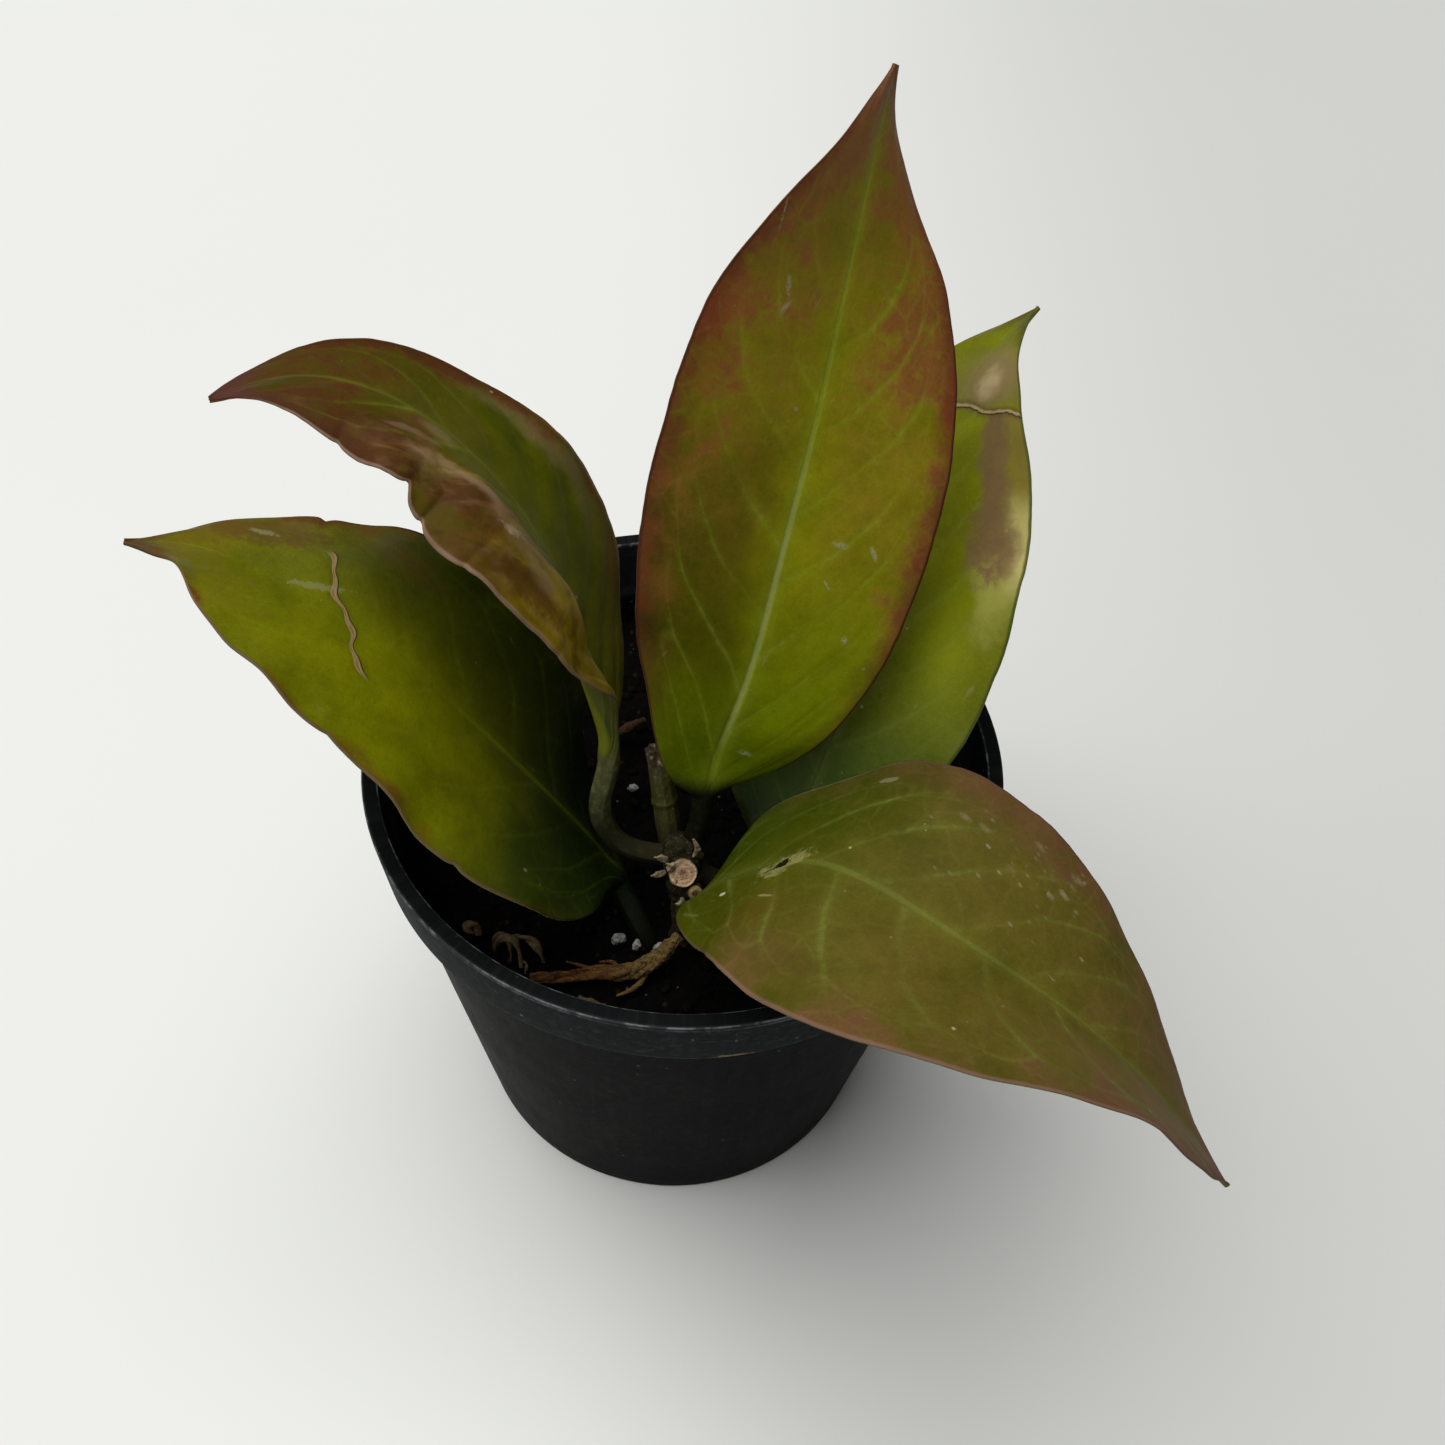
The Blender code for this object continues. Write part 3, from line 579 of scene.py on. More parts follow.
    # red-brown flush
    patch = (big - 0.5) * mottle * 1.1 + (mid_n - 0.5) * mottle * 0.7
    start = flush_from[1] + left_side * (flush_from[0] - flush_from[1])
    if rise:
        start = start - s.step(0.50, 0.90) * rise
    margin = ((av + patch - start) / (1.03 - start)).step(0.0, 1.0) * s.step(0.04, 0.50, foot, 1.0)
    to_tip = (s + patch * 0.5).step(tip_from, 1.02)
    blush = (margin * 0.85 + to_tip * 0.8 + haze * s.step(0.10, 0.55) * av.step(0.04, 0.35, 0.4, 1.0)) * flush_gain
    blush = blush * (1.0 - sec_soft * strength * 0.35 - mid_soft * 0.45)
    blush = (blush * (1.0 + (fine - 0.5) * 0.6 + (mid_n - 0.5) * 1.7 + (blotch - 0.5) * 2.0)).clip()
    col = sh.mix(blush, ground, rgb(flush))
    if rim:
        col = sh.mix(((av + (blotch - 0.5) * 0.22).step(0.80, 1.0) * s.step(0.06, 0.30) * rim[1]).clip(), col, rgb(rim[0]))
    if dusk:
        col = sh.gain(col, 1.0 - s.step(0.50, 0.85) * dusk)
    tipness = (s + av * 0.05 + (mid_n - 0.5) * 0.06).step(0.93, 1.0)
    col = sh.mix(tipness * 0.8, col, rgb(tip))

    vc = rgb(vein)
    vf = (sec * (0.04 + strength * 0.20) + loops * 0.15 * strength + net * (0.06 * net_gain) * (0.3 + strength) * s.step(net_to, net_to - 0.25)
          + sec_soft * 0.13 * strength) * vein_gain * (0.4 + blotch * 1.2)
    if right_veins != 1.0:
        vf = vf * (left_side * (1.0 - right_veins) + right_veins)
    col = sh.mix((vf * (0.7 + fine * 0.6)).clip(), col, vc)
    fade = s.step(0.05, 0.95, 0.85, 0.22) * mid_gain * s.step(mid_start - 0.01, mid_start + 0.10, mid_low, 1.0)
    col = sh.mix((mid_soft * 0.20 * mid_gain).clip(), col, vc)
    col = sh.mix((midrib * fade * (0.55 + blotch * 0.8)).clip(), col, vc)

    # tiny light and dark cells, flecks of residue, scuffs
    col = sh.gain(col, 1.0 + (stipple - 0.5) * 0.40 + (fine - 0.5) * 0.34 + (mid_n - 0.5) * 0.25)
    d1, r1, r2 = sh.cells(4.6, offset=off)
    fleck = (d1 + (stipple - 0.5) * 0.10).step(0.065, 0.035) * r1.above(0.66) * (0.3 + 0.7 * r2)
    d2, q1, q2 = sh.cells(2.0, offset=(off[0] + 40, off[1], off[2]))
    dust = d2.step(0.08, 0.035) * q1.above(0.78) * 0.5
    scr = sh.noise(1.1, 3.0, 0.65, vector=sh.vec(a * 0.28 + x * 0.10, x * 1.4 - a * 0.4, seed), distort=0.6)
    scr_where = sh.noise(7.0, 1.0, 0.5, offset=(off[0], off[1], off[2] + 21)).step(0.58, 0.70)
    scuff = scr.step(0.62, 0.72) * scr_where * 0.35
    flecks = ((fleck * 0.8 + dust * 0.5 + scuff * 0.6) * fleck_gain * av.step(0.99, 0.94)).clip()
    col = sh.mix(flecks * 0.75, col, rgb("a8a486"))

    height = midrib * -0.05 + sec_soft * -0.03 + net * 0.008 + (stipple - 0.5) * 0.022 \
        + (fine - 0.5) * 0.035 + (mid_n - 0.5) * 0.05 + flecks * 0.03
    rough = gloss + (fine - 0.5) * 0.16 + (stipple - 0.5) * 0.12 + flecks * 0.25 + (big - 0.5) * 0.14
    if extra is not None:
        col, height, rough = extra(sh, col, height, rough, m)

    # margin line
    line = (av + (fine - 0.5) * 0.012).step(0.972, 0.992) * s.step(0.12, 0.40, edge_foot, 1.0)
    col = sh.mix((line * 0.85).clip(), col, rgb(edge))
    # painted highlights: pale lines along parts of the margin
    for glow_col, lo, hi, gain_e, which, s_from, s_to in painted_margin_highlights:
        here = left_side if which < 0 else 1.0 - left_side
        glow = av.step(lo, hi) * here * gain_e * (0.4 + 1.2 * mid_n) * s.step(s_from, s_from + 0.12) * s.step(s_to, s_to - 0.12)
        col = sh.mix(glow.clip(), col, rgb(glow_col))

    # underside: paler, greyer, with a light midrib
    ucol = sh.mix(((big - 0.5) * 1.6 + 0.5 + (mid_n - 0.5) * 0.8).clip(), rgb(under), rgb(deep))
    ucol = sh.mix((margin * 0.55 * flush_gain + to_tip * 0.3).clip(), ucol, rgb(flush))
    ucol = sh.mix(((sec * 0.4 + sec_soft * 0.25 + net * 0.12) * 0.7).clip(), ucol, vc)
    ucol = sh.mix((midrib * 0.75 + mid_soft * 0.25).clip(), ucol, vc)
    ucol = sh.gain(ucol, 1.0 + (stipple - 0.5) * 0.3 + (fine - 0.5) * 0.25 + (mid_n - 0.5) * 0.2)
    ucol = sh.mix((flecks * 0.5).clip(), ucol, rgb("8e8a68"))
    col = sh.mix(top.step(0.3, 0.7), ucol, col)
    # petiole: olive-brown and ringed, with painted shade darkening it towards its foot
    pcol = sh.mix(((mid_n - 0.3) * 1.4).clip(), rgb(stalk[0]), rgb(stalk[1]))
    pcol = sh.mix(((fine - 0.48) * 2.2).clip(), pcol, rgb(stalk[2]))
    pcol = sh.mix((a + (fine - 0.5) * 3.0).step(-1.5, -9.0) * foot_painted_shade, pcol, rgb("14110a"))
    col = sh.mix(pet.step(0.15, 0.85), col, pcol)
    sh.colour(col)
    sh.rough((rough + pet * 0.15).clip())
    sh.bump(height, 0.9)
    sh.set(Specular_IOR_Level=spec, IOR=ior, Subsurface_Weight=0.08, Subsurface_Scale=0.001)
    sh.b.inputs["Subsurface Radius"].default_value = (0.9, 1.0, 0.1)
    return sh.mat


def spot(m, ca, cx, la, lx, slant=0.0, ragged=0.5):
    """Distance from a mark's middle, 1 at its ragged edge."""
    u = (m["a"] - ca) / la
    w = (m["x"] - cx + (m["a"] - ca) * slant) / lx
    return (u * u + w * w).sqrt() + (m["fine"] - 0.5) * ragged


def worm_scar(sh, col, height, rough, m):
    """Thin raised tan scar that wanders from near the upper margin back
    across the blade, and some pale scuffs beside it."""
    a, x, fine, mid_n = m["a"], m["x"], m["fine"], m["mid_n"]
    (a0, x0), (a1, x1) = LOW_SCAR
    la = math.hypot(a1 - a0, x1 - x0)
    ua, ux = (a1 - a0) / la, (x1 - x0) / la
    run = (a - a0) * ua + (x - x0) * ux
    off = (x - x0) * ua - (a - a0) * ux
    off = off + (run * 0.75 + 0.6).sin() * 0.38 + (run * 1.9).sin() * 0.14
    on = run.step(-0.3, 0.8) * run.step(la + 0.3, la - 0.9)
    wide = 0.30 + (run * 1.3 + 1.0).sin() * 0.09
    core = (off.abs() / wide).step(1.1, 0.70) * on
    groove = (off.abs() / wide).step(0.45, 0.1) * on * (run * 2.6).sin().step(-0.2, 0.6)
    halo = (off.abs() / wide).step(3.0, 1.0) * on
    col = sh.mix((halo * 0.18).clip(), col, rgb("2c2c0c"))
    col = sh.mix((core * 0.95).clip(), col, rgb("9a8058"))
    col = sh.mix((groove * 0.12).clip(), col, rgb("7a6440"))
    pale = (spot(m, a0 - 1.6, x0 - 4.6, 3.4, 0.7, 0.45, 1.9) + (m["stipple"] - 0.5) * 1.2).step(0.9, 0.45)
    pale = pale.most((spot(m, a0 + 6.5, x0 - 1.0, 1.6, 0.5, 0.2, 1.6) + (m["stipple"] - 0.5) * 1.2).step(0.9, 0.45))
    brown = (spot(m, 57.5, 6.0, 7.0, 2.4, 0.32, 0.8) + (m["blotch"] - 0.5) * 1.6).step(1.25, 0.4)
    brown = brown.most((spot(m, 48.0, 11.0, 9.0, 2.2, -0.1, 0.8) + (m["blotch"] - 0.5) * 1.4).step(1.2, 0.4) * 0.55)
    col = sh.mix((brown * 0.62).clip(), col, rgb("58381c"))
    col = sh.mix((pale * 0.35).clip(), col, rgb("9a9c70"))
    return col, height + core * 0.22 - groove * 0.05 + pale * 0.03, rough + core * 0.35 + pale * 0.1


def blister_scar(sh, col, height, rough, m):
    """Tan blister near the tip, a corky crack across the blade under it, a
    brown bruise down the right half and a pale patch under the bruise."""
    a, x, fine, stip, mid_n = m["a"], m["x"], m["fine"], m["stipple"], m["mid_n"]
    path = 56.5 - x * 0.13 + (x * 0.9).sin() * 0.22 + (fine - 0.5) * 0.55
    d = (a - path).abs()
    from_left = x.step(-2.4, -1.2)
    blotch = m["blotch"]
    core = d.step(0.32, 0.10) * from_left * (0.45 + blotch * 0.9).clip()
    halo = d.step(1.0, 0.25) * from_left
    dry = (a + (fine - 0.5) * 1.4).step(55.9, 57.4) * (a + (mid_n - 0.5) * 5.0).step(65.0, 61.0) \
        * (x + (mid_n - 0.5) * 3.0).step(-5.0, -0.5)
    tan_area = (spot(m, 60.2, 3.6, 4.6, 4.9, 0.1, 0.4) + (mid_n - 0.5) * 0.6).step(1.25, 0.45)
    pale = (spot(m, 59.5, 3.8, 2.8, 2.3, 0.1, 0.6) + (blotch - 0.5) * 1.1).step(1.25, 0.1)
    # the bruise is an uneven streak, wider at its lower end
    axis = 7.6 + (53.0 - a) * 0.21
    half = 2.0 + a.step(46.0, 40.5) * 0.9
    apart = ((x - axis) / half).abs() + (mid_n - 0.5) * 1.7 + (blotch - 0.5) * 1.6
    bruise = apart.step(1.45, 0.35) * (a + (blotch - 0.5) * 7.0 + (mid_n - 0.5) * 4.0).step(36.4, 39.8) * a.step(56.4, 55.2)
    mottled = (blotch * 1.3 + (fine - 0.5) * 0.6 + (stip - 0.5) * 0.4).clip()
    outer = (x - axis - half * 0.6 + (mid_n - 0.5) * 2.0).step(-0.6, 1.6) * (a + (mid_n - 0.5) * 5.0).step(35.0, 39.5) * a.step(56.0, 54.8)
    bleached = (a + (mid_n - 0.5) * 4.0).step(47.5, 43.0)
    lightly = (spot(m, 37.0, 12.0, 5.6, 3.4, 0.2, 0.6) + (mid_n - 0.5) * 1.3).step(1.25, 0.2)
    col = sh.mix((lightly * 0.6).clip(), col, rgb("a2a050"))
    col = sh.mix((outer * (1.0 - bleached) * 0.60).clip(), col, rgb("7c6634"))
    limey = (spot(m, 31.0, 8.0, 7.5, 4.0, 0.25, 0.5) + (mid_n - 0.5) * 1.0).step(1.3, 0.2)
    col = sh.mix((limey * 0.22).clip(), col, rgb("8e9a14"))
    col = sh.mix((outer * bleached * 0.70).clip(), col, rgb("c4b674"))
    col = sh.mix((bruise * (0.62 + mottled * 0.30)).clip(), col, rgb("765c3e"))
    col = sh.mix((bruise * mottled * 0.40).clip(), col, rgb("56392a"))
    col = sh.mix((dry * 0.5).clip(), col, rgb("6a5c38"))
    col = sh.mix((tan_area * 0.80).clip(), col, rgb("7e6a46"))
    col = sh.mix((pale * 0.80).clip(), col, rgb("a8966e"))
    col = sh.mix((halo * 0.55).clip(), col, rgb("4d3a20"))
    col = sh.mix((core * 0.9).clip(), col, rgb("a48e66"))
    height = height + core * 0.35 + tan_area * 0.20 - pale * 0.08 - bruise * 0.05
    return col, height, rough + core * 0.3 + tan_area * 0.2 + bruise * 0.12 + dry * 0.1


def pierced_spot(sh, col, height, rough, m):
    """Torn pale spot with a dark hole on the midrib near the base, a white
    dot, a short streak and pale specks along the upper margin."""
    fine, mid_n, stip = m["fine"], m["mid_n"], m["stipple"]
    pale = (spot(m, 16.2, 0.6, 2.8, 2.3, 0.67, 1.5) + (m["blotch"] - 0.5) * 2.4).step(1.05, 0.40)
    hole = (spot(m, 16.0, 0.6, 1.3, 1.15, 0.75, 2.4) + (m["blotch"] - 0.5) * 3.4 + (stip - 0.5) * 1.6).step(0.75, 0.50)
    hole = hole.most((spot(m, 14.9, 1.6, 0.7, 0.16, 0.5, 0.9) + (stip - 0.5) * 0.8).step(1.0, 0.5) * 0.8)
    bits2_d, bits2_r, bits2_q = sh.cells(1.0, vector=sh.vec(m["a"] * 0.75 + 4.0, m["x"] * 1.5 - m["a"] * 0.30, 8.0))
    specks = (bits2_d + (stip - 0.5) * 0.5).step(0.34, 0.08) * bits2_r.above(0.72) * bits2_q \
        * spot(m, 42.0, -9.0, 17.0, 7.0, 0.0, 0.4).step(1.2, 0.5)
    dot = spot(m, 9.3, 3.5, 0.46, 0.42, 0.0, 0.3).step(1.0, 0.6)
    streak = spot(m, 18.0, 5.8, 1.65, 0.26, 0.06, 0.9).step(1.0, 0.4)
    zone = spot(m, 40.0, -12.4, 10.5, 3.0, 0.0, 0.6).step(1.3, 0.5)
    bits_d, bits_r, bits_q = sh.cells(1.0, vector=sh.vec(m["a"] * 0.36 + m["x"] * 0.10, m["x"] * 0.85 - m["a"] * 0.20, 3.0))
    grey = (bits_d + (stip - 0.5) * 0.5).step(0.40, 0.08) * bits_r.above(0.45) * zone * (0.30 + bits_q * 0.70)
    grey2 = (spot(m, 21.0, -12.9, 1.1, 0.5, 0.3, 1.2)).step(1.0, 0.5)
    col = sh.mix((grey * 0.5 + grey2 * 0.35 + specks * 0.45).clip(), col, rgb("a0977c"))
    rusty = (spot(m, 17.5, 8.0, 5.5, 3.4, 0.3, 0.7) + (m["blotch"] - 0.5) * 1.8).step(1.2, 0.3)
    col = sh.mix((rusty * 0.24).clip(), col, rgb("5c3a14"))
    dull = (spot(m, 22.5, 12.6, 8.0, 3.4, 0.0, 0.8) + (m["blotch"] - 0.5) * 1.4).step(1.25, 0.2)
    col = sh.mix((dull * 0.30).clip(), col, rgb("62402a"))
    far_edge = (m["v"] + (mid_n - 0.5) * 0.3).step(-0.62, -0.92) * m["s"].step(0.22, 0.34) * m["s"].step(0.66, 0.54)
    col = sh.mix((far_edge * 0.34).clip(), col, rgb("48301c"))
    col = sh.mix((pale * 0.72).clip(), col, rgb("86824e"))
    col = sh.mix((hole * 0.97).clip(), col, rgb("0e0c05"))
    col = sh.mix((streak * 0.6).clip(), col, rgb("94845c"))
    col = sh.mix((dot * 0.85).clip(), col, rgb("b8b094"))
    return col, height - hole * 0.35 + pale * 0.08, rough + pale * 0.2 + grey * 0.15


def pale_scratches(sh, col, height, rough, m):
    """Small whitish marks left on the tall leaf, and redder patches."""
    total = None
    for ca, cx, la, lx, slant in ((54.5, -6.7, 1.2, 0.32, 0.3), (52.6, -6.5, 0.9, 0.34, -0.4), (30.4, 5.9, 0.4, 0.8, 0.8),
                                  (30.2, 9.6, 0.9, 0.3, 0.6), (26.0, 5.5, 0.7, 0.2, 0.9), (60.8, -10.0, 2.2, 0.14, 0.1),
                                  (20.5, 9.0, 0.5, 0.35, 0.0), (6.3, 3.0, 0.3, 0.8, 0.1)):
        k = (spot(m, ca, cx, la * 1.15, lx * 1.3, slant, 0.9) + (m["stipple"] - 0.5) * 1.5
             + (m["blotch"] - 0.5) * 1.0).step(1.05, 0.4)
        total = k if total is None else total.most(k)
    total = total * (m["stipple"] + (m["fine"] - 0.5) * 0.8).step(0.38, 0.54, 0.12, 1.0)
    pale_mid = (m["x"].abs() + (m["fine"] - 0.5) * 0.3).step(0.42, 0.10) * m["s"].step(0.06, 0.13) * m["s"].step(0.58, 0.36)
    col = sh.mix((pale_mid * 0.42 * (0.5 + m["blotch"] * 0.8)).clip(), col, rgb("a6aa76"))
    red = spot(m, 45.0, 14.6, 4.5, 1.9, 0.0, 0.6).step(1.3, 0.5).most(spot(m, 48.5, -13.2, 6.0, 2.6, 0.0, 0.6).step(1.3, 0.4))
    red = red.most(spot(m, 50.5, -5.6, 2.4, 1.2, 0.2, 0.8).step(1.2, 0.4) * 0.6)
    red = red.most(spot(m, 38.0, -6.0, 3.0, 2.4, 0.2, 0.9).step(1.2, 0.3) * 0.35)
    col = sh.mix((red * 0.26 * (0.2 + m["mid_n"] * 0.8 + m["blotch"] * 0.8)).clip(), col, rgb("7a301e"))
    col = sh.mix((total * 0.5).clip(), col, rgb("a8a684"))
    return col, height + total * 0.03, rough + total * 0.2


def low_painted_shadow(sh, ground, m):
    """Painted shadow: the inner half of the low leaf, under the arching leaf, and its foot are painted a very deep
    green.
    """
    # painted shadow of the arching leaf on the upper half
    shadow_under_arch = m["x"] - m["a"] * 0.2 + 5.0 + (m["big"] - 0.5) * 3.0
    ground = sh.mix((shadow_under_arch.step(-4.0, 4.5) * m["a"].step(53.0, 40.0, 0.40, 1.0) * 0.72).clip(), ground, rgb("2c2e02"))
    # painted shadow: a diagonal band across the inner half
    lean = m["a"] - m["x"] * 1.3 + (m["big"] - 0.5) * 9.0
    ground = sh.mix(lean.step(40.0, 13.0) * 0.88, ground, rgb("2c3404"))
    # painted shade at the foot, under the other leaves
    foot = (m["a"] + m["x"] * 0.25 + (m["mid_n"] - 0.5) * 3.0).step(25.0, 9.0)
    foot = foot.most((m["v"] + (m["mid_n"] - 0.5) * 0.4).step(0.05, -0.45) * m["a"].step(25.0, 17.0) * 0.9)
    return sh.mix((foot * 0.88).clip(), ground, rgb("14260a"))


def arch_zones(sh, ground, m):
    """A green channel runs along the midrib of the arching leaf."""
    near_edge = m["v"].step(-0.22, -0.42)
    return sh.mix((near_edge * 0.60 * (0.5 + m["mid_n"])).clip(), ground, rgb("584a06"))


def arch_marks_and_painted_light(sh, col, height, rough, m):
    """Marks on the arching leaf: painted highlights along the puckered crest and the far shoulder, painted shade and
    painted light on the humps, and pale streaks, mauve patches and chips.
    """
    v, s, fine, mid_n, blotch = m["v"], m["s"], m["fine"], m["mid_n"], m["blotch"]
    gold = v.step(-0.30, -0.50) * s.step(0.50, 0.34, 0.25, 1.0) * s.step(0.66, 0.54) * s.step(0.06, 0.20)
    col = sh.mix((gold * 0.74 * (0.15 + blotch * 1.3)).clip(), col, rgb("80700a"))
    lowgold = v.step(-0.30, -0.50) * s.step(0.46, 0.36) * s.step(0.05, 0.14)
    col = sh.mix((lowgold * 0.40 * (0.3 + blotch)).clip(), col, rgb("a08418"))
    # painted shade: two spots on the humps are darkened
    painted_shade_spot = spot(m, 37.8, -9.6, 3.4, 2.4, 0.0, 0.9).step(1.3, 0.3)
    painted_shade_spot = painted_shade_spot.most(spot(m, 47.6, -5.7, 4.0, 2.2, 0.0, 0.9).step(1.3, 0.3) * 0.5)
    col = sh.gain(col, 1.0 - painted_shade_spot * 0.40)
    mauve = (spot(m, 36.6, -9.6, 5.2, 2.5, -0.15, 0.9) + (blotch - 0.5) * 1.7).step(1.2, 0.3)
    mauve = mauve.most((spot(m, 28.2, -11.9, 6.4, 1.8, 0.08, 0.9) + (blotch - 0.5) * 1.8).step(1.1, 0.3) * 0.95)
    mauve = mauve.most((spot(m, 22.0, -9.5, 4.4, 1.3, -0.5, 0.9) + (blotch - 0.5) * 2.0).step(1.0, 0.3) * 0.6)
    mauve = mauve.most((spot(m, 47.6, -7.4, 5.4, 2.0, 0.1, 0.9) + (blotch - 0.5) * 1.6).step(1.1, 0.3) * 0.8)
    fibre = sh.noise(1.0, 3.0, 0.50, vector=sh.vec(m["a"] * 0.24 + 11.0, m["x"] * 0.55 + m["a"] * 0.10, 5.0), distort=0.6)
    col = sh.mix((mauve * (0.50 + fibre * 0.5)).clip(), col, rgb("4c2c16"))
    near = v.step(-0.25, -0.45) * s.step(0.08, 0.20) * s.step(0.80, 0.68)
    col = sh.mix((near * (fibre - 0.50).clip() * 2.0 * (0.4 + m["fine"])).clip(), col, rgb("7e6240"))
    col = sh.mix((near * (0.49 - fibre).clip() * 2.4).clip(), col, rgb("3e2a0c"))
    pale_crest_streaks = (spot(m, 36.4, -7.9, 5.4, 0.9, -0.449, 0.7) + (fibre - 0.5) * 2.0 + (blotch - 0.5) * 1.2).step(1.1, 0.2)
    pale_crest_streaks = pale_crest_streaks.most((spot(m, 28.2, -9.9, 4.2, 1.0, 0.0, 0.7) + (fibre - 0.5) * 2.0 + (blotch - 0.5) * 1.2).step(1.1, 0.2))
    pale_crest_streaks = pale_crest_streaks.most((spot(m, 44.5, -4.6, 3.0, 0.8, 0.3, 0.7) + (fibre - 0.5) * 2.0).step(1.1, 0.2) * 0.8)
    col = sh.mix((pale_crest_streaks * 0.46).clip(), col, rgb("967a5e"))
    chips = (spot(m, 32.2, -9.4, 1.7, 0.6, 0.2, 1.4) + (m["stipple"] - 0.5) * 2.6 + (blotch - 0.5) * 2.0).step(0.9, 0.3)
    col = sh.mix((chips * 0.50).clip(), col, rgb("a8a07c"))
    greener = (spot(m, 38.4, -12.0, 4.6, 1.3, -0.1, 0.7) + (blotch - 0.5) * 1.2).step(1.2, 0.3)
    col = sh.mix((greener * 0.50).clip(), col, rgb("5e5c10"))
    strip = s.step(0.11, 0.03) * (m["x"].abs() + (fine - 0.5) * 0.6).step(2.0, 0.9)
    col = sh.mix((strip * 0.75).clip(), col, rgb("626c44"))
    # painted light: pale spots brighten the hollow beside the humps
    painted_light_spot = spot(m, 42.3, -7.0, 2.6, 2.6, 0.0, 0.8).step(1.2, 0.3)
    painted_light_spot = painted_light_spot.most(spot(m, 42.3, -1.9, 2.4, 1.6, 0.0, 0.8).step(1.2, 0.3) * 0.7)
    col = sh.mix((painted_light_spot * 0.52 * (0.35 + (fibre - 0.30) * 1.6 + (blotch - 0.5) * 0.9)).clip(), col, rgb("9a8256"))
    # painted highlights: pale lines along the crest and along the far shoulder
    crest = (v + 0.56 + (mid_n - 0.5) * 0.34 + (fibre - 0.5) * 0.16).abs().step(0.12, 0.0) * s.step(0.34, 0.44) * s.step(0.70, 0.64)
    far = (v - 0.80 + (mid_n - 0.5) * 0.3).abs().step(0.16, 0.02) * s.step(0.32, 0.46) * s.step(0.70, 0.56)
    col = sh.mix((crest * 0.46 * ((blotch + fibre - 0.78) * 3.0).clip()).clip(), col, rgb("8e6e54"))
    col = sh.mix((far * 0.52 * (0.05 + blotch * 1.1)).clip(), col, rgb("867052"))
    deep = (v + 0.88 + (mid_n - 0.5) * 0.3).abs().step(0.18, 0.04) * s.step(0.44, 0.52) * s.step(0.74, 0.60)
    col = sh.mix((deep * 0.4 * (0.3 + blotch)).clip(), col, rgb("2e1a08"))
    return col, height, rough + crest * 0.1


def tall_painted_light_and_shade(sh, ground, m):
    """Painted shade on the left of the tall leaf low down and along its low left margin, and a painted pool of light on
    its right low down.
    """
    # painted shade on the left half of the tall leaf, low down
    side = (m["v"] + (m["mid_n"] - 0.5) * 0.3).step(0.12, -0.50) * m["s"].step(0.62, 0.42) * m["s"].step(0.11, 0.24)
    ground = sh.mix((side * 0.66).clip(), ground, rgb("2e2e00"))
    # painted shade along the low left margin
    shaded_low_edge = (m["v"] + (m["mid_n"] - 0.5) * 0.2).step(-0.55, -0.90) * m["s"].step(0.50, 0.34) * m["s"].step(0.05, 0.14)
    ground = sh.mix((shaded_low_edge * 0.50).clip(), ground, rgb("262600"))
    # painted light: a brighter patch on the right half, low down
    sunny = (m["v"] + (m["mid_n"] - 0.5) * 0.4).step(0.02, 0.40) * m["s"].step(0.08, 0.16) * m["s"].step(0.40, 0.28)
    return sh.mix((sunny * 0.45).clip(), ground, rgb("7c8c04"))


def droop_zones(sh, ground, m):
    """The upper half of the drooping leaf stays green near its foot."""
    upper = (m["v"] + (m["mid_n"] - 0.5) * 0.3).step(0.10, -0.40) * m["s"].step(0.44, 0.22)
    return sh.mix((upper * 0.60).clip(), ground, rgb("2c3c00"))


def back_painted_shade(sh, ground, m):
    """Painted shade: deeper, greyer green towards the foot of the back leaf, and a near-black painted shadow at the
    foot, under the other leaves.
    """
    # painted shade towards the foot of the back leaf
    lower = (m["a"] + m["v"] * 3.0).step(29.0, 6.0)
    ground = sh.mix((lower * 0.74).clip(), ground, rgb("2f4216"))
    # painted shadow at the very foot
    painted_shadow_at_foot = (m["a"] + (m["mid_n"] - 0.5) * 3.0).step(9.5, 3.5)
    return sh.mix((painted_shadow_at_foot * 0.75).clip(), ground, rgb("101a06"))


LOW_SCAR = ((50.8, 6.7), (39.2, -5.4))

# the tall leaf's stalk colours are near black: partly the stalk's own dark colour, partly painted shade deep in the
# plant
tall_mat = leaf_shader("leaf_olive_flushed", 76.7, "6c6e00", "8e9202", "825626", "764e3a", "8c9a30", "5c6622",
                       flush_from=(0.66, 0.64), foot=0.03, tip_from=0.47, base_col="566400", base_from=0.40, seed=1.0,
                       vein_gain=0.95, mid_gain=0.95, extra=pale_scratches, zones=tall_painted_light_and_shade, edge="47201a", flush_gain=0.70,
                       mottle=1.1, rim=("602a20", 0.66), haze=0.50, rise=0.42, mid_start=0.06, mid_low=0.1, net_gain=1.5, mid_wide=1.6,
                       net_from=0.30,
                       spec=0.20, ior=1.25, stalk=("12150a", "1c190c", "2c2c18"))
back_mat = leaf_shader("leaf_lime_scarred", 70.8, "5c6000", "767a02", "5c4c1c", "4a4420", "8f9850", "5c6a30",
                       flush_from=(0.90, 0.90), flush_gain=0.35, tip_from=0.97, base_col="3c4a18", base_from=0.60, seed=2.0,
                       vein_gain=0.25, mid_gain=0.35, extra=blister_scar, zones=back_painted_shade, edge="3f4a12",
                       mid_start=0.35, mid_low=0.1)
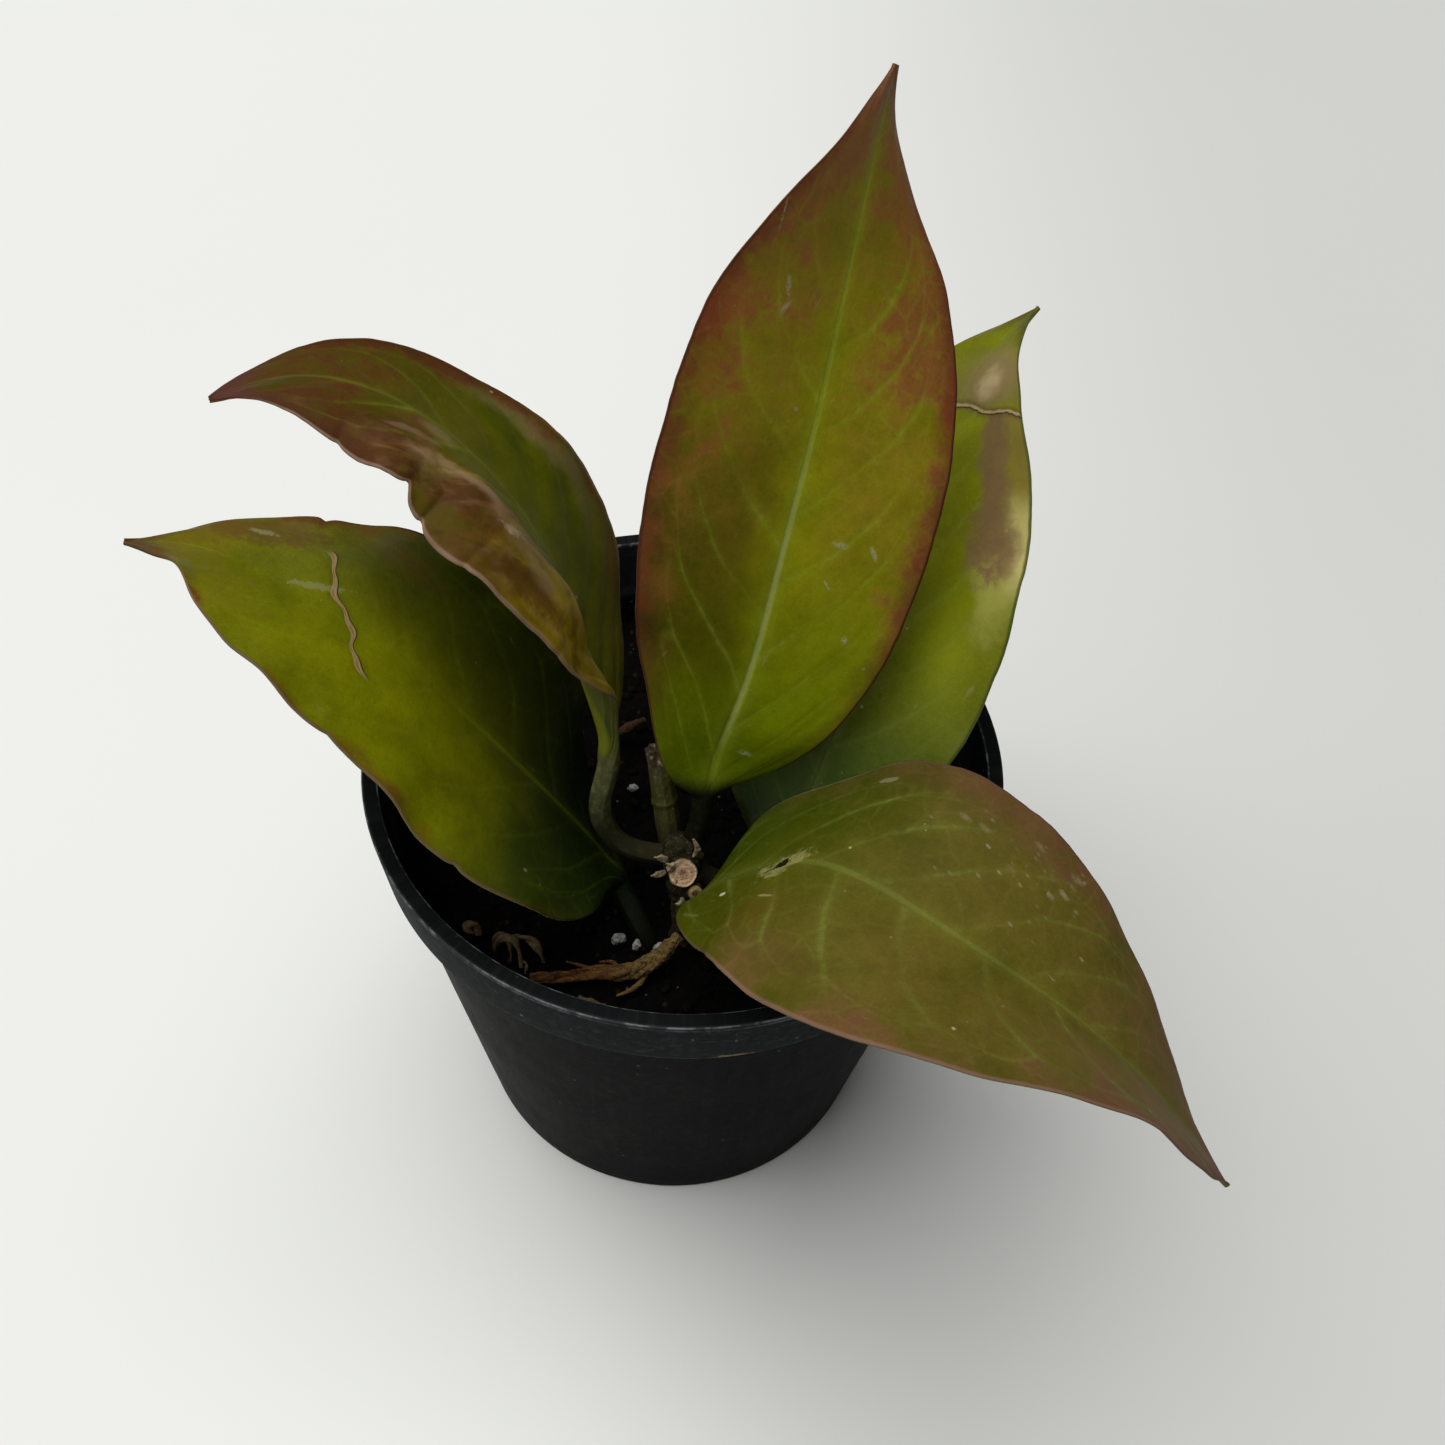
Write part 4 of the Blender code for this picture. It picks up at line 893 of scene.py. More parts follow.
arch_mat = leaf_shader("leaf_bronze", 65.3, "404600", "62620a", "5c3818", "50302a", "787c22", "6c7248",
                       flush_from=(0.20, 0.66), foot=0.2, flush_gain=0.88, tip_from=0.47, seed=3.0, vein_gain=1.4, mid_gain=0.8,
                       extra=arch_marks_and_painted_light, edge="4c2018", painted_margin_highlights=(("ab917c", 0.962, 0.985, 0.42, -1, 0.06, 0.97), ("8a7058", 0.95, 0.985, 0.35, 1, 0.10, 0.60)),
                       zones=arch_zones, mottle=1.1, spec=0.15, gloss=0.52, ior=1.22, rim=("45200e", 0.4), dusk=0.34,
                       net_to=0.66, right_veins=0.45, mid_wide=1.4, stalk=("4e5230", "5a5636", "7e7e58"))
low_mat = leaf_shader("leaf_green_scarred", 69.1, "5a5e00", "787a00", "5e3c10", "4c3020", "7a8410", "55622a",
                      flush_from=(0.88, 0.84), foot=0.0, flush_gain=0.75, tip_from=0.70, seed=4.0, vein_gain=0.65,
                      mid_gain=0.42, mid_gap=(0.36, 0.80), extra=worm_scar, zones=low_painted_shadow, edge="3a1e14",
                      painted_margin_highlights=(("a58a68", 0.975, 0.994, 0.25, -1, 0.20, 0.97),), edge_foot=0.1,
                      stalk=("0a0f03", "10150a", "1c2410"), foot_painted_shade=0.80, mid_wide=1.3)
droop_mat = leaf_shader("leaf_dull_olive", 76.5, "48460c", "625a1c", "62442a", "5a3426", "747e38", "66703c",
                        flush_from=(0.60, 0.72), flush_gain=0.68, tip_from=0.56, seed=5.0, vein_gain=1.05, mid_gain=0.44,
                        extra=pierced_spot, edge="5c4036", fleck_gain=1.5, base_col="3a4002", base_from=0.54, mottle=0.9,
                        spec=0.16, gloss=0.55, ior=1.22, mid_start=0.20, haze=0.26, foot=0.1, zones=droop_zones,
                        painted_margin_highlights=(("8e705e", 0.968, 0.990, 0.36, 1, 0.16, 0.90), ("8e9c78", 0.975, 0.992, 0.45, -1, 0.01, 0.30)),
                        slants=(0.17, 0.15, 0.10, 0.07), mid_wide=1.6, vein_end=(0.84, 0.62))


def arch_humps(sb, V, A, X):
    """The near half of the arching leaf is puckered along a crest."""
    near = np.clip(-V, 0, 1)
    across = np.exp(-((near - 0.60) / 0.24) ** 2)
    crest = across * (1.15 * np.exp(-((sb - 0.565) / 0.045) ** 2) + 0.7 * np.exp(-((sb - 0.48) / 0.05) ** 2)
                      + 0.8 * np.exp(-((sb - 0.35) / 0.06) ** 2) + 0.35 * np.exp(-((sb - 0.72) / 0.05) ** 2))
    down = 0.35 * np.exp(-((sb - 0.635) / 0.022) ** 2 - ((near - 0.8) / 0.35) ** 2)
    grid = np.stack([A, X, 0 * A], -1)
    pucker = 0.85 * lumps(grid * np.array([0.5, 1.0, 1.0]), 3.4, 201, 3) * ease(near, 0.2, 0.6)
    frill = ease(near, 0.6, 1.0) * 0.35 * lumps(grid * np.array([1.0, 0.3, 1.0]), 4.6, 207, 2)
    far = 0.25 * ease(V, 0.3, 1.0) * np.sin(sb * 26 + 0.5) + 0.2 * lumps(grid, 6.0, 211, 2) * ease(V, 0.1, 0.5)
    return (crest - down + (pucker + frill) * (1 - 0.6 * ease(sb, 0.62, 0.75))) * ease(sb, 0.18, 0.32) + far


def low_humps(sb, V, A, X):
    edge = ease(np.abs(V), 0.6, 1.0)
    return edge * (0.35 * np.sin(sb * 30 + np.where(V < 0, 0, 2.0)) + 0.2 * np.sin(sb * 57 + 1.0))


def soft_humps(sb, V, A, X):
    edge = ease(np.abs(V), 0.55, 1.0)
    return edge * (0.28 * np.sin(sb * 24 + np.where(V < 0, 0.6, 2.4)) + 0.12 * np.sin(sb * 51 + 0.4))


build_leaf("leaf_tall_center", tall_mat, "leaf_olive",
           petiole=[(1.2, -14.2, 61.8), (2.1, -13.5, 66.2)],
           midrib=[(2.2, -12.8, 68.9), (5.2, -7.8, 78.1), (8.6, -0.3, 91.1), (11.5, 7.9, 104.8),
                   (13.8, 16.7, 118.2), (15.6, 23.0, 127.6), (16.9, 26.5, 132.9)],
           across=(0.98, 0.20, 0.0), roll=(-8, -4, -18, -53), half_width=15.8,
           left=(0.96, 1.02, 1.01, 1.08, 0.97), right=(0.99, 1.0, 0.99, 1.07, 0.97),
           fold=((9, 6, 2, 8), (5, 10, 7, 3)), curl=((1, -2, -6, 0), (-3, 3, -1, -5)),
           shape=(0.586, 0.704, 0.744, 0.085), seed=1, relief=0.4, humps=soft_humps)

build_leaf("leaf_back_right", back_mat, "leaf_lime",
           petiole=[(1.6, -15.8, 58.6), (6.6, -15.6, 56.4)],
           midrib=[(10.2, -13.5, 57.7), (16.1, -5.8, 67.5), (22.3, 4.9, 79.5), (26.5, 16.2, 89.6),
                   (30.2, 25.3, 96.3), (34.6, 30.3, 100.8), (37.5, 32.1, 103.1)],
           across=(0.94, -0.28, 0.19), roll=(-5, 9, 24, 44), half_width=15.3,
           left=(1.0, 0.98, 1.01, 1.02, 1.0), right=(1.0, 0.98, 1.01, 1.03, 1.0),
           fold=((8, 8, 8, 10), (8, 9, 7, 11)), curl=((0, 0, 0, 2), (0, 1, -1, 3)),
           shape=(0.511, 0.683, 0.697, 0.074), seed=2, relief=0.3, humps=soft_humps)

build_leaf("leaf_arching_left", arch_mat, "leaf_bronze",
           petiole=[(-1.6, -14.9, 60.0), (-7.3, -13.9, 61.0), (-9.2, -12.4, 64.4)],
           midrib=[(-8.4, -10.2, 69.9), (-10.7, -6.6, 80.5), (-14.9, -3.0, 92.8), (-21.1, 0.4, 101.5),
                   (-29.2, 2.5, 107.6), (-39.2, 2.7, 110.0), (-47.0, 0.6, 108.8)],
           across=(0.10, 0.99, 0.10), roll=(-27, -30, -34, -37), half_width=14.4,
           left=(1.0, 0.98, 1.06, 0.96, 1.0), right=(0.99, 1.01, 1.04, 0.97, 1.02),
           fold=((-12, 0, -9, -2), (16, 29, 19, 26)), curl=((-34, -27, -36, -19), (5, 16, 7, 14)),
           shape=(0.5, 0.672, 0.595, 0.071), seed=3, relief=0.9, humps=arch_humps, edge_nick=0.03,
           ridges=((-1, 0.54, 0.07, 1.6, 0.6), (-1, 0.39, 0.07, 1.0, 0.6)),
           notches=((-1, 0.655, 0.10, 0.010), (-1, 0.60, 0.06, 0.008), (-1, 0.505, 0.03, 0.006),
                    (-1, 0.78, 0.04, 0.008), (-1, 0.33, 0.02, 0.006)),
           base=((0.20, 2.2), (0.02, 1.0)), roll_over=(105, 0.16),
           waves=((-1, 0.42, 0.05, -0.4, 2.0), (-1, 0.55, 0.05, -0.8, 2.0), (-1, 0.67, 0.05, 1.6, 2.0)))

build_leaf("leaf_low_left", low_mat, "leaf_green",
           petiole=[(-2.3, -20.4, 42.5), (-2.9, -20.1, 48.0), (-4.6, -18.4, 51.6)],
           midrib=[(-7.0, -15.3, 54.6), (-13.5, -13.5, 65.4), (-23.0, -11.3, 76.9), (-33.0, -7.4, 84.4),
                   (-44.0, -2.9, 88.3), (-52.9, -0.4, 90.2), (-59.1, -0.7, 90.8)],
           across=(0.33, 0.77, 0.55), roll=(-51, -33, -38, -55), half_width=16.0,
           left=(0.95, 1.1, 0.94, 1.06, 0.97), right=(0.96, 1.07, 0.98, 1.06, 0.97),
           fold=((4, 5, 11, 7), (-2, 13, 11, 3)), curl=((-4, -3, 3, -1), (-10, 5, 3, -5)),
           shape=(0.534, 0.731, 0.713, 0.089), seed=4, relief=0.25, humps=low_humps,
           notches=((1, 0.774, 0.055, 0.007), (-1, 0.56, 0.02, 0.01), (-1, 0.33, 0.025, 0.008)))

build_leaf("leaf_drooping_right", droop_mat, "leaf_dull_olive",
           petiole=[(1.4, -19.0, 54.4), (1.7, -22.0, 56.6)],
           midrib=[(1.5, -22.7, 59.4), (8.4, -23.4, 69.6), (16.7, -28.8, 77.1), (26.9, -36.8, 78.3),
                   (37.8, -42.8, 74.9), (47.2, -47.4, 68.1), (55.6, -51.4, 59.0)],
           across=(-0.43, -0.64, -0.64), roll=(34, 38, 53, 69), half_width=16.4,
           left=(0.97, 1.02, 1.06, 1.0, 1.0), right=(0.98, 0.99, 1.09, 0.97, 1.0),
           fold=((7, 7, 12, 3), (11, 2, 16, 4)), curl=((0, -1, 4, -5), (2, -6, 8, -4)),
           shape=(0.44, 0.697, 0.725, 0.07), seed=5, relief=0.45, humps=soft_humps,
           base=((0.088, 1.3), (0.066, 2.0)))


# ======================================================================== pot
POT_HEIGHT, RIM_RADIUS, RIM_BOTTOM_RADIUS, RIM_BAND, LIP_WIDTH = 61.5, 38.0, 37.1, 8.0, 1.9
NECK_RADIUS, BASE_RADIUS, WALL, FLOOR = 35.6, 27.2, 0.9, 1.2
DRAIN_HOLES, DRAIN_HOLE_RADIUS, DRAIN_CIRCLE = 6, 3.0, 17.5
band_z = POT_HEIGHT - RIM_BAND


def rounded(points, radii, steps=5):
    """A profile with its corners rounded by the given radii."""
    pts = [np.array(p, float) for p in points]
    out = [pts[0]]
    for i in range(1, len(pts) - 1):
        a, b, c = pts[i - 1], pts[i], pts[i + 1]
        r = radii[i]
        if r <= 0:
            out.append(b)
            continue
        u, w = a - b, c - b
        lu, lw = np.linalg.norm(u), np.linalg.norm(w)
        k = min(r, lu * 0.48, lw * 0.48)
        p0, p1 = b + u / lu * k, b + w / lw * k
        for j in range(steps + 1):
            t = j / steps
            out.append((1 - t) ** 2 * p0 + 2 * t * (1 - t) * b + t * t * p1)
    out.append(pts[-1])
    return out


def subdivide(profile, longest):
    out = [profile[0]]
    for a, b in zip(profile[:-1], profile[1:]):
        n = max(1, int(np.ceil(np.linalg.norm(b - a) / longest)))
        for j in range(1, n + 1):
            out.append(a + (b - a) * j / n)
    return out


pot_pts = [(0, 0), (BASE_RADIUS, 0), (NECK_RADIUS, band_z - 0.1), (RIM_BOTTOM_RADIUS, band_z),
           (RIM_RADIUS, POT_HEIGHT), (RIM_RADIUS - LIP_WIDTH, POT_HEIGHT),
           (RIM_BOTTOM_RADIUS - LIP_WIDTH, band_z + 0.9), (NECK_RADIUS - WALL, band_z - 0.4),
           (BASE_RADIUS - WALL + 0.1, FLOOR), (0, FLOOR)]
pot_rad = [0, 0.7, 0.5, 0.45, 0.42, 0.35, 0.6, 0.8, 1.0, 0]
profile = subdivide(rounded(pot_pts, pot_rad), 2.6)
SEG = 288
prof = np.array(profile)
ang = np.arange(SEG) / SEG * 2 * math.pi
inner = prof[1:-1]
rr = inner[:, 0][:, None] * np.ones(SEG)[None]
zz = inner[:, 1][:, None] * np.ones(SEG)[None]
# moulding is never perfect: the wall is faintly out of round, the lip uneven
ring_pt = np.stack([np.cos(ang), np.sin(ang), 0 * ang], -1)
wav = lumps(ring_pt[None] * 30 + np.array([0, 0, 1.0]) * zz[..., None] * 0.7, 16.0, 5, 2)
rr = rr + 0.07 * wav * ease(zz, 2, 12)
lip = ease(zz, POT_HEIGHT - 0.7, POT_HEIGHT)
burr = lumps(ring_pt[None] * 36 + 0 * zz[..., None], 1.3, 8, 3)
zz = zz + lip * (0.05 * burr)
rr = np.minimum(rr, RIM_RADIUS)
verts = np.stack([rr * np.cos(ang), rr * np.sin(ang), zz], -1).reshape(-1, 3)
rows = len(inner)
allv = np.concatenate([verts, [[0, 0, 0], [0, 0, FLOOR]]])
k = len(verts)
fs = [ring_faces(rows, SEG), fan(k, np.arange(SEG), flip=True), fan(k + 1, np.arange((rows - 1) * SEG, rows * SEG))]
if signed_volume(allv, fs) < 0:
    fs = [f[:, ::-1] for f in fs]

sh = Shader("nursery_pot_plastic")
X_, Y_, Z_ = sh.xyz()
fine = sh.noise(0.5, 3.0, 0.6)
grit = sh.noise(0.16, 2.0, 0.6)
cloud = sh.noise(9.0, 3.0, 0.55)
band = Z_.step(53.0, 53.7)
r_xy = (X_ * X_ + Y_ * Y_).sqrt()
outside = (r_xy - Z_ * 0.157).step(26.3, 26.9)
angle = Y_.math("ARCTAN2", X_)
# vertical draw marks on the wall, level rings and scratches on the band
draw = sh.noise(1.0, 3.0, 0.6, vector=sh.vec(angle * 22.0, Z_ * 0.05, 0.0))
rings = sh.noise(1.0, 3.0, 0.6, vector=sh.vec(angle * 1.6, Z_ * 2.6, 4.0))
scratch_f = sh.noise(1.0, 4.0, 0.7, vector=sh.vec(angle * 9.0, Z_ * 1.7, r_xy * 1.2), distort=1.2)
scratch = scratch_f.step(0.60, 0.68) * cloud.step(0.42, 0.60)
d_s, rs1, rs2 = sh.cells(2.6, offset=(3, 7, 1))
speck = d_s.step(0.10, 0.055) * rs1.above(0.72)
lipband = Z_.step(61.0, 61.35)
# painted highlights: bright lines along both edges of the lip, and a fainter one at the band's lower step
lip_outer_highlight = (r_xy - 37.88).abs().step(0.11, 0.02) * Z_.step(60.6, 60.95)
lip_inner_highlight = (r_xy - 36.16).abs().step(0.15, 0.02) * Z_.step(60.8, 61.15)
band_step_highlight = (Z_ - 53.75).abs().step(0.22, 0.05) * r_xy.step(36.6, 36.9)
highlight_breaks = sh.noise(1.6, 3.0, 0.6).step(0.42, 0.66)
painted_edge_highlights = (lip_outer_highlight * 0.60 + lip_inner_highlight * 0.65 + band_step_highlight * 0.26) * (0.16 + highlight_breaks * 0.84)
dust = sh.noise(1.0, 4.0, 0.7, vector=sh.vec(angle * 30.0, Z_ * 0.9, 2.0), distort=0.8).step(0.46, 0.72)
nicks_d, nr1, nr2 = sh.cells(1.0, vector=sh.vec(angle * 26.0, Z_ * 0.35, r_xy * 0.2))
nicks = nicks_d.step(0.16, 0.05) * nr1.above(0.62) * band * outside
# the wall's near-black base is partly the black plastic's own colour and partly painted shade
col = sh.mix((cloud * 0.8 + draw.step(0.5, 0.8) * 0.5).clip(), rgb("050606"), rgb("0d0e0f"))
col = sh.mix((band * 0.80).clip(), col, rgb("202324"))
wall_n = sh.noise(1.0, 4.0, 0.7, vector=sh.vec(angle * 7.0 + Z_ * 0.05, Z_ * 0.16, 9.0), distort=1.0)
col = sh.mix((wall_n.step(0.52, 0.74) * 0.22).clip(), col, rgb("1e2021"))
col = sh.mix((scratch * (band * 0.28 + 0.12)).clip(), col, rgb("4c5052"))
col = sh.mix((dust * (0.12 + band * outside * 0.30)).clip(), col, rgb("3c403f"))
col = sh.mix((nicks * 0.45).clip(), col, rgb("6c6f6c"))
col = sh.mix((speck * (0.25 + band * 0.4)).clip(), col, rgb("7b7f7c"))
# painted shade: the top face of the lip is darkened
col = sh.mix((lipband * (r_xy.step(37.75, 37.55) * r_xy.step(36.0, 36.2)) * 0.72).clip(), col, rgb("0b0c0c"))
# painted highlights along the lip edges and the band step
col = sh.mix((painted_edge_highlights * 0.90).clip(), col, rgb("949b9b"))
# dried soil: a small tan smear under the band and dust on the lip and inside
sx, sz = (angle + 1.395) / 0.085, (Z_ - 53.6) / 0.9
smear = ((sx * sx + sz * sz).sqrt() + (fine - 0.5) * 0.9 + (sh.noise(1.5, 3.0, 0.6) - 0.5) * 0.8).step(1.0, 0.5)
col = sh.mix((smear * 0.75).clip(), col, rgb("8a7a5c"))
inside = 1.0 - outside
dirt_n = sh.noise(2.4, 4.0, 0.62)
dirt = inside * Z_.step(60.5, 52.0) * dirt_n.step(0.42, 0.62)
col = sh.mix((dirt * 0.7).clip(), col, rgb("241d16"))
sh.colour(col)
sh.rough((0.46 + (cloud - 0.5) * 0.16 + (fine - 0.5) * 0.14 + band * 0.06 + scratch * 0.15 + smear * 0.3 + dirt * 0.4
          + (draw - 0.5) * 0.10).clip())
sh.bump((fine - 0.5) * 0.014 + (grit - 0.5) * 0.010 + (draw - 0.5) * 0.020 + (rings - 0.5) * band * 0.035
        + scratch * band * -0.02 + smear * 0.05 + painted_edge_highlights * 0.03, 0.8)
sh.set(IOR=1.10, Specular_IOR_Level=0.20)
pot_mat = sh.mat
pot = new_piece("nursery_pot_moulding", allv, fs, pot_mat, "black_plastic", ["nursery_pot"])

# drain holes, cut through the floor
drill_mesh = bpy.data.meshes.new("drills")
bmd = bmesh.new()
for i in range(DRAIN_HOLES):
    a_ = 2 * math.pi * (i + 0.5) / DRAIN_HOLES
    bmesh.ops.create_cone(bmd, cap_ends=True, segments=40, radius1=DRAIN_HOLE_RADIUS * MM, radius2=DRAIN_HOLE_RADIUS * MM,
                          depth=6 * MM, matrix=Matrix.Translation((DRAIN_CIRCLE * MM * math.cos(a_), DRAIN_CIRCLE * MM * math.sin(a_), 1 * MM)))
bmd.to_mesh(drill_mesh)
bmd.free()
drill = bpy.data.objects.new("drills", drill_mesh)
scene.collection.objects.link(drill)
mod = pot.modifiers.new("holes", "BOOLEAN")
mod.operation, mod.solver, mod.object = "DIFFERENCE", "EXACT", drill
dg = bpy.context.evaluated_depsgraph_get()
cut = bpy.data.meshes.new_from_object(pot.evaluated_get(dg))
pot.modifiers.clear()
old = pot.data
pot.data = cut
bpy.data.meshes.remove(old)
bpy.data.objects.remove(drill, do_unlink=True)
pot.data.shade_smooth()
pot.data.set_sharp_from_angle(angle=math.radians(38))


# ======================================================================= soil
SOIL_LEVEL = 50.0


def soil_height(x, y):
    return (SOIL_LEVEL + 0.42 * np.sin(0.31 * x + 1.3) * np.cos(0.27 * y)
            + 0.28 * np.sin(0.62 * x - 0.5 * y) + 0.16 * np.cos(0.9 * y + 0.4 * x))


def inner_radius(z):
    t = (z - FLOOR - 0.9) / (band_z - 0.4 - FLOOR - 0.9)
    return (BASE_RADIUS - WALL + 0.25) * (1 - t) + (NECK_RADIUS - WALL) * t


def soil_top(x, y):
    """Crumbly surface: clods, crumbs and small pits on the uneven level."""
    p = np.stack([x, y, 0 * x], -1)
    z = soil_height(x, y)
    clod = np.abs(lumps(p, 5.0, 21, 3, 0.6))
    crumb = np.abs(lumps(p, 1.7, 24, 3, 0.6))
    grit = lumps(p, 0.55, 29, 2)
    return z + 1.1 * clod - 0.45 + 0.8 * crumb - 0.3 + 0.16 * grit


SR, SK = 150, 300
rad = (inner_radius(SOIL_LEVEL) - 0.15) * np.linspace(0, 1, SR + 1)[1:]
ang = np.arange(SK) / SK * 2 * math.pi
gx = rad[:, None] * np.cos(ang)[None]
gy = rad[:, None] * np.sin(ang)[None]
gz = soil_top(gx, gy)
gz = gz - 0.9 * ease(rad, rad[-1] - 1.2, rad[-1])[:, None]
topv = np.stack([gx, gy, gz], -1).reshape(-1, 3)
low = []
for r_, z_ in ((inner_radius(44.0) - 0.15, 44.0), (inner_radius(20.0) - 0.15, 20.0),
               (inner_radius(FLOOR + 2.0) - 0.2, FLOOR + 2.0), (inner_radius(FLOOR + 0.9) - 1.1, FLOOR + 0.1)):
    low.append(np.stack([r_ * np.cos(ang), r_ * np.sin(ang), np.full(SK, z_)], -1))
allv = np.concatenate([topv] + low + [[[0, 0, float(soil_top(np.array(0.0), np.array(0.0)))], [0, 0, FLOOR + 0.1]]])
k = len(allv) - 2
rows = SR + 4
fs = [ring_faces(rows, SK), fan(k, np.arange(SK), flip=True), fan(k + 1, np.arange((rows - 1) * SK, rows * SK))]
if signed_volume(allv, fs) < 0:
    fs = [f[:, ::-1] for f in fs]

sh = Shader("peat_mix")
n1 = sh.noise(3.0, 5.0, 0.65)
n2 = sh.noise(0.6, 4.0, 0.65)
dv, v1, v2 = sh.cells(0.9)
fib = sh.noise(1.0, 3.0, 0.6, stretch=(0.4, 3.0, 1.0))
col = sh.mix(((n1 - 0.35) * 1.8).clip(), rgb("040303"), rgb("0c0a08"))
col = sh.mix(((n2 - 0.5) * 1.6).clip(), col, rgb("17120d"))
col = sh.mix((v1.above(0.90) * dv.step(0.42, 0.2) * 0.6).clip(), col, rgb("2b2117"))
col = sh.mix((v2.above(0.985) * dv.step(0.24, 0.12) * 0.6).clip(), col, rgb("77715f"))
sh.colour(col)
sh.rough((0.88 + (n2 - 0.5) * 0.2).clip())
sh.bump((n1 - 0.5) * 0.5 + (n2 - 0.5) * 0.35 + (dv * -0.25) + (fib - 0.5) * 0.15, 1.0)
sh.set(Specular_IOR_Level=0.04)
soil_mat = sh.mat
new_piece("potting_soil_crumbly", allv, fs, soil_mat, "peat_soil", ["potting_soil"])


def ico(sub):
    bm = bmesh.new()
    bmesh.ops.create_icosphere(bm, subdivisions=sub, radius=1.0)
    v = np.array([x.co[:] for x in bm.verts])
    f = np.array([[q.index for q in face.verts] for face in bm.faces])
    bm.free()
    return v, f


# loose crumbs of bark and peat scattered on the surface
iv, iface = ico(2)
vs, fcs, at = [], [], 0
for i in range(260):
    r_ = math.sqrt(rng.uniform(0.0, 1.0)) * 32.6
    a_ = rng.uniform(0, 2 * math.pi)
    x, y = r_ * math.cos(a_), r_ * math.sin(a_)
    size = rng.uniform(0.35, 1.15) * np.array([1.0, rng.uniform(0.5, 0.9), rng.uniform(0.35, 0.7)])
    spin = rng.uniform(0, math.pi)
    q = iv * (1 + 0.35 * lumps(iv * 2 + i * 7.3, 1.2, 41, 2)[:, None]) * size
    q = np.stack([q[:, 0] * math.cos(spin) - q[:, 1] * math.sin(spin), q[:, 0] * math.sin(spin) + q[:, 1] * math.cos(spin), q[:, 2]], -1)
    z = float(soil_top(np.array(x), np.array(y))) + size[2] * 0.35
    if np.hypot(x, y) > 31.5:
        z -= 0.5
    vs.append(q + np.array([x, y, z]))
    fcs.append(iface + at)
    at += len(iv)
sh = Shader("bark_crumbs")
n1 = sh.noise(2.2, 3.0, 0.6)
n2 = sh.noise(0.35, 3.0, 0.6)
col = sh.mix(((n1 - 0.35) * 2.2).clip(), rgb("050404"), rgb("120e0a"))
col = sh.mix(((n2 - 0.52) * 2.0).clip(), col, rgb("221a11"))
sh.colour(col)
sh.rough((0.85 + (n2 - 0.5) * 0.2).clip())
sh.bump((n2 - 0.5) * 0.25, 1.0)
sh.set(Specular_IOR_Level=0.04)
new_piece("soil_crumbs", np.concatenate(vs), [np.concatenate(fcs)], sh.mat, "peat_soil", [], smooth=False)


# ====================================================================== stems
def tube_grid(points, radii, rows, cols, knots=None, bulge=None):
    pts = np.asarray(points, float)
    c = chord_lengths(pts)
    total = c[-1]
    c = c / total
    t = np.linspace(0, 1, rows)
    mid = cubic(c, pts, t)
    rad = np.interp(t, c if knots is None else knots, radii)
    # soften the radius changes
    ker = np.array([1, 4, 6, 4, 1]) / 16
    for _ in range(3):
        rad = np.convolve(np.pad(rad, 2, mode="edge"), ker, mode="valid")
    tan = unit(np.gradient(mid, axis=0))
    ref = np.array([0.31, 0.95, 0.05])
    S, U = np.zeros_like(mid), np.zeros_like(mid)
    for i in range(rows):
        sd = ref - tan[i] * (ref @ tan[i])
        sd /= np.linalg.norm(sd)
        ref = sd
        S[i], U[i] = sd, np.cross(tan[i], sd)
    a = np.arange(cols) / cols * 2 * math.pi
    direction = np.cos(a)[None, :, None] * S[:, None] + np.sin(a)[None, :, None] * U[:, None]
    R = rad[:, None] * np.ones(cols)[None]
    base = mid[:, None] + R[..., None] * direction
    if bulge is not None:
        R = R + bulge(t[:, None] * np.ones(cols)[None], a[None] * np.ones(rows)[:, None], base, R, total)
    return mid[:, None] + R[..., None] * direction, mid, tan, t, rad


def capped(grid, dome0=0.0, dome1=0.0, tan=None):
    rows, cols = grid.shape[:2]
    v = grid.reshape(-1, 3)
    c0, c1 = grid[0].mean(0), grid[-1].mean(0)
    if tan is not None:
        c0 = c0 - tan[0] * dome0
        c1 = c1 + tan[-1] * dome1
    allv = np.concatenate([v, [c0, c1]])
    k = len(v)
    fs = [ring_faces(rows, cols), fan(k, np.arange(cols), flip=True), fan(k + 1, np.arange((rows - 1) * cols, rows * cols))]
    if signed_volume(allv, fs) < 0:
        fs = [f[:, ::-1] for f in fs]
    return allv, fs


def merge_bodies(bodies):
    vs, groups, at = [], {}, 0
    for v, fs in bodies:
        vs.append(v)
        for f in fs:
            groups.setdefault(f.shape[1], []).append(f + at)
        at += len(v)
    return np.concatenate(vs), [np.concatenate(g) for g in groups.values()]


STEM_PATH = [(1.1, -17.8, 41.5), (1.25, -18.6, 49.0), (1.0, -17.9, 54.0),
             (0.5, -16.4, 58.0), (0.1, -15.2, 60.6), (0.0, -14.6, 62.6)]
STEM_RADII = [1.7, 1.9, 1.6, 1.9, 2.5, 1.7]
CUT_AXIS = unit(np.array([0.05, -0.72, 0.70]))
CUT_CENTRE = np.array([0.4, -18.15, 61.1])


def knobbly(t, a, p, R, total):
    rings = 0.0
    for c_, w_, h_ in ((0.40, 0.018, 0.20), (0.47, 0.015, -0.12), (0.58, 0.02, 0.28), (0.66, 0.015, -0.15), (0.76, 0.03, 0.25)):
        rings = rings + h_ * np.exp(-((t - c_ - 0.02 * np.sin(a + 3 * c_)) / w_) ** 2)
    ridge = 0.12 * np.sin(5 * a + 9 * t) * np.sin(14 * t + a)
    return rings + ridge + 0.28 * lumps(p, 1.3, 51, 3, 0.6) + 0.10 * lumps(p, 0.4, 57, 2)


g, m_, tn_, t_, r_ = tube_grid(STEM_PATH, STEM_RADII, 130, 64, bulge=knobbly)
stem_body = capped(g, 0.0, 0.7, tn_)
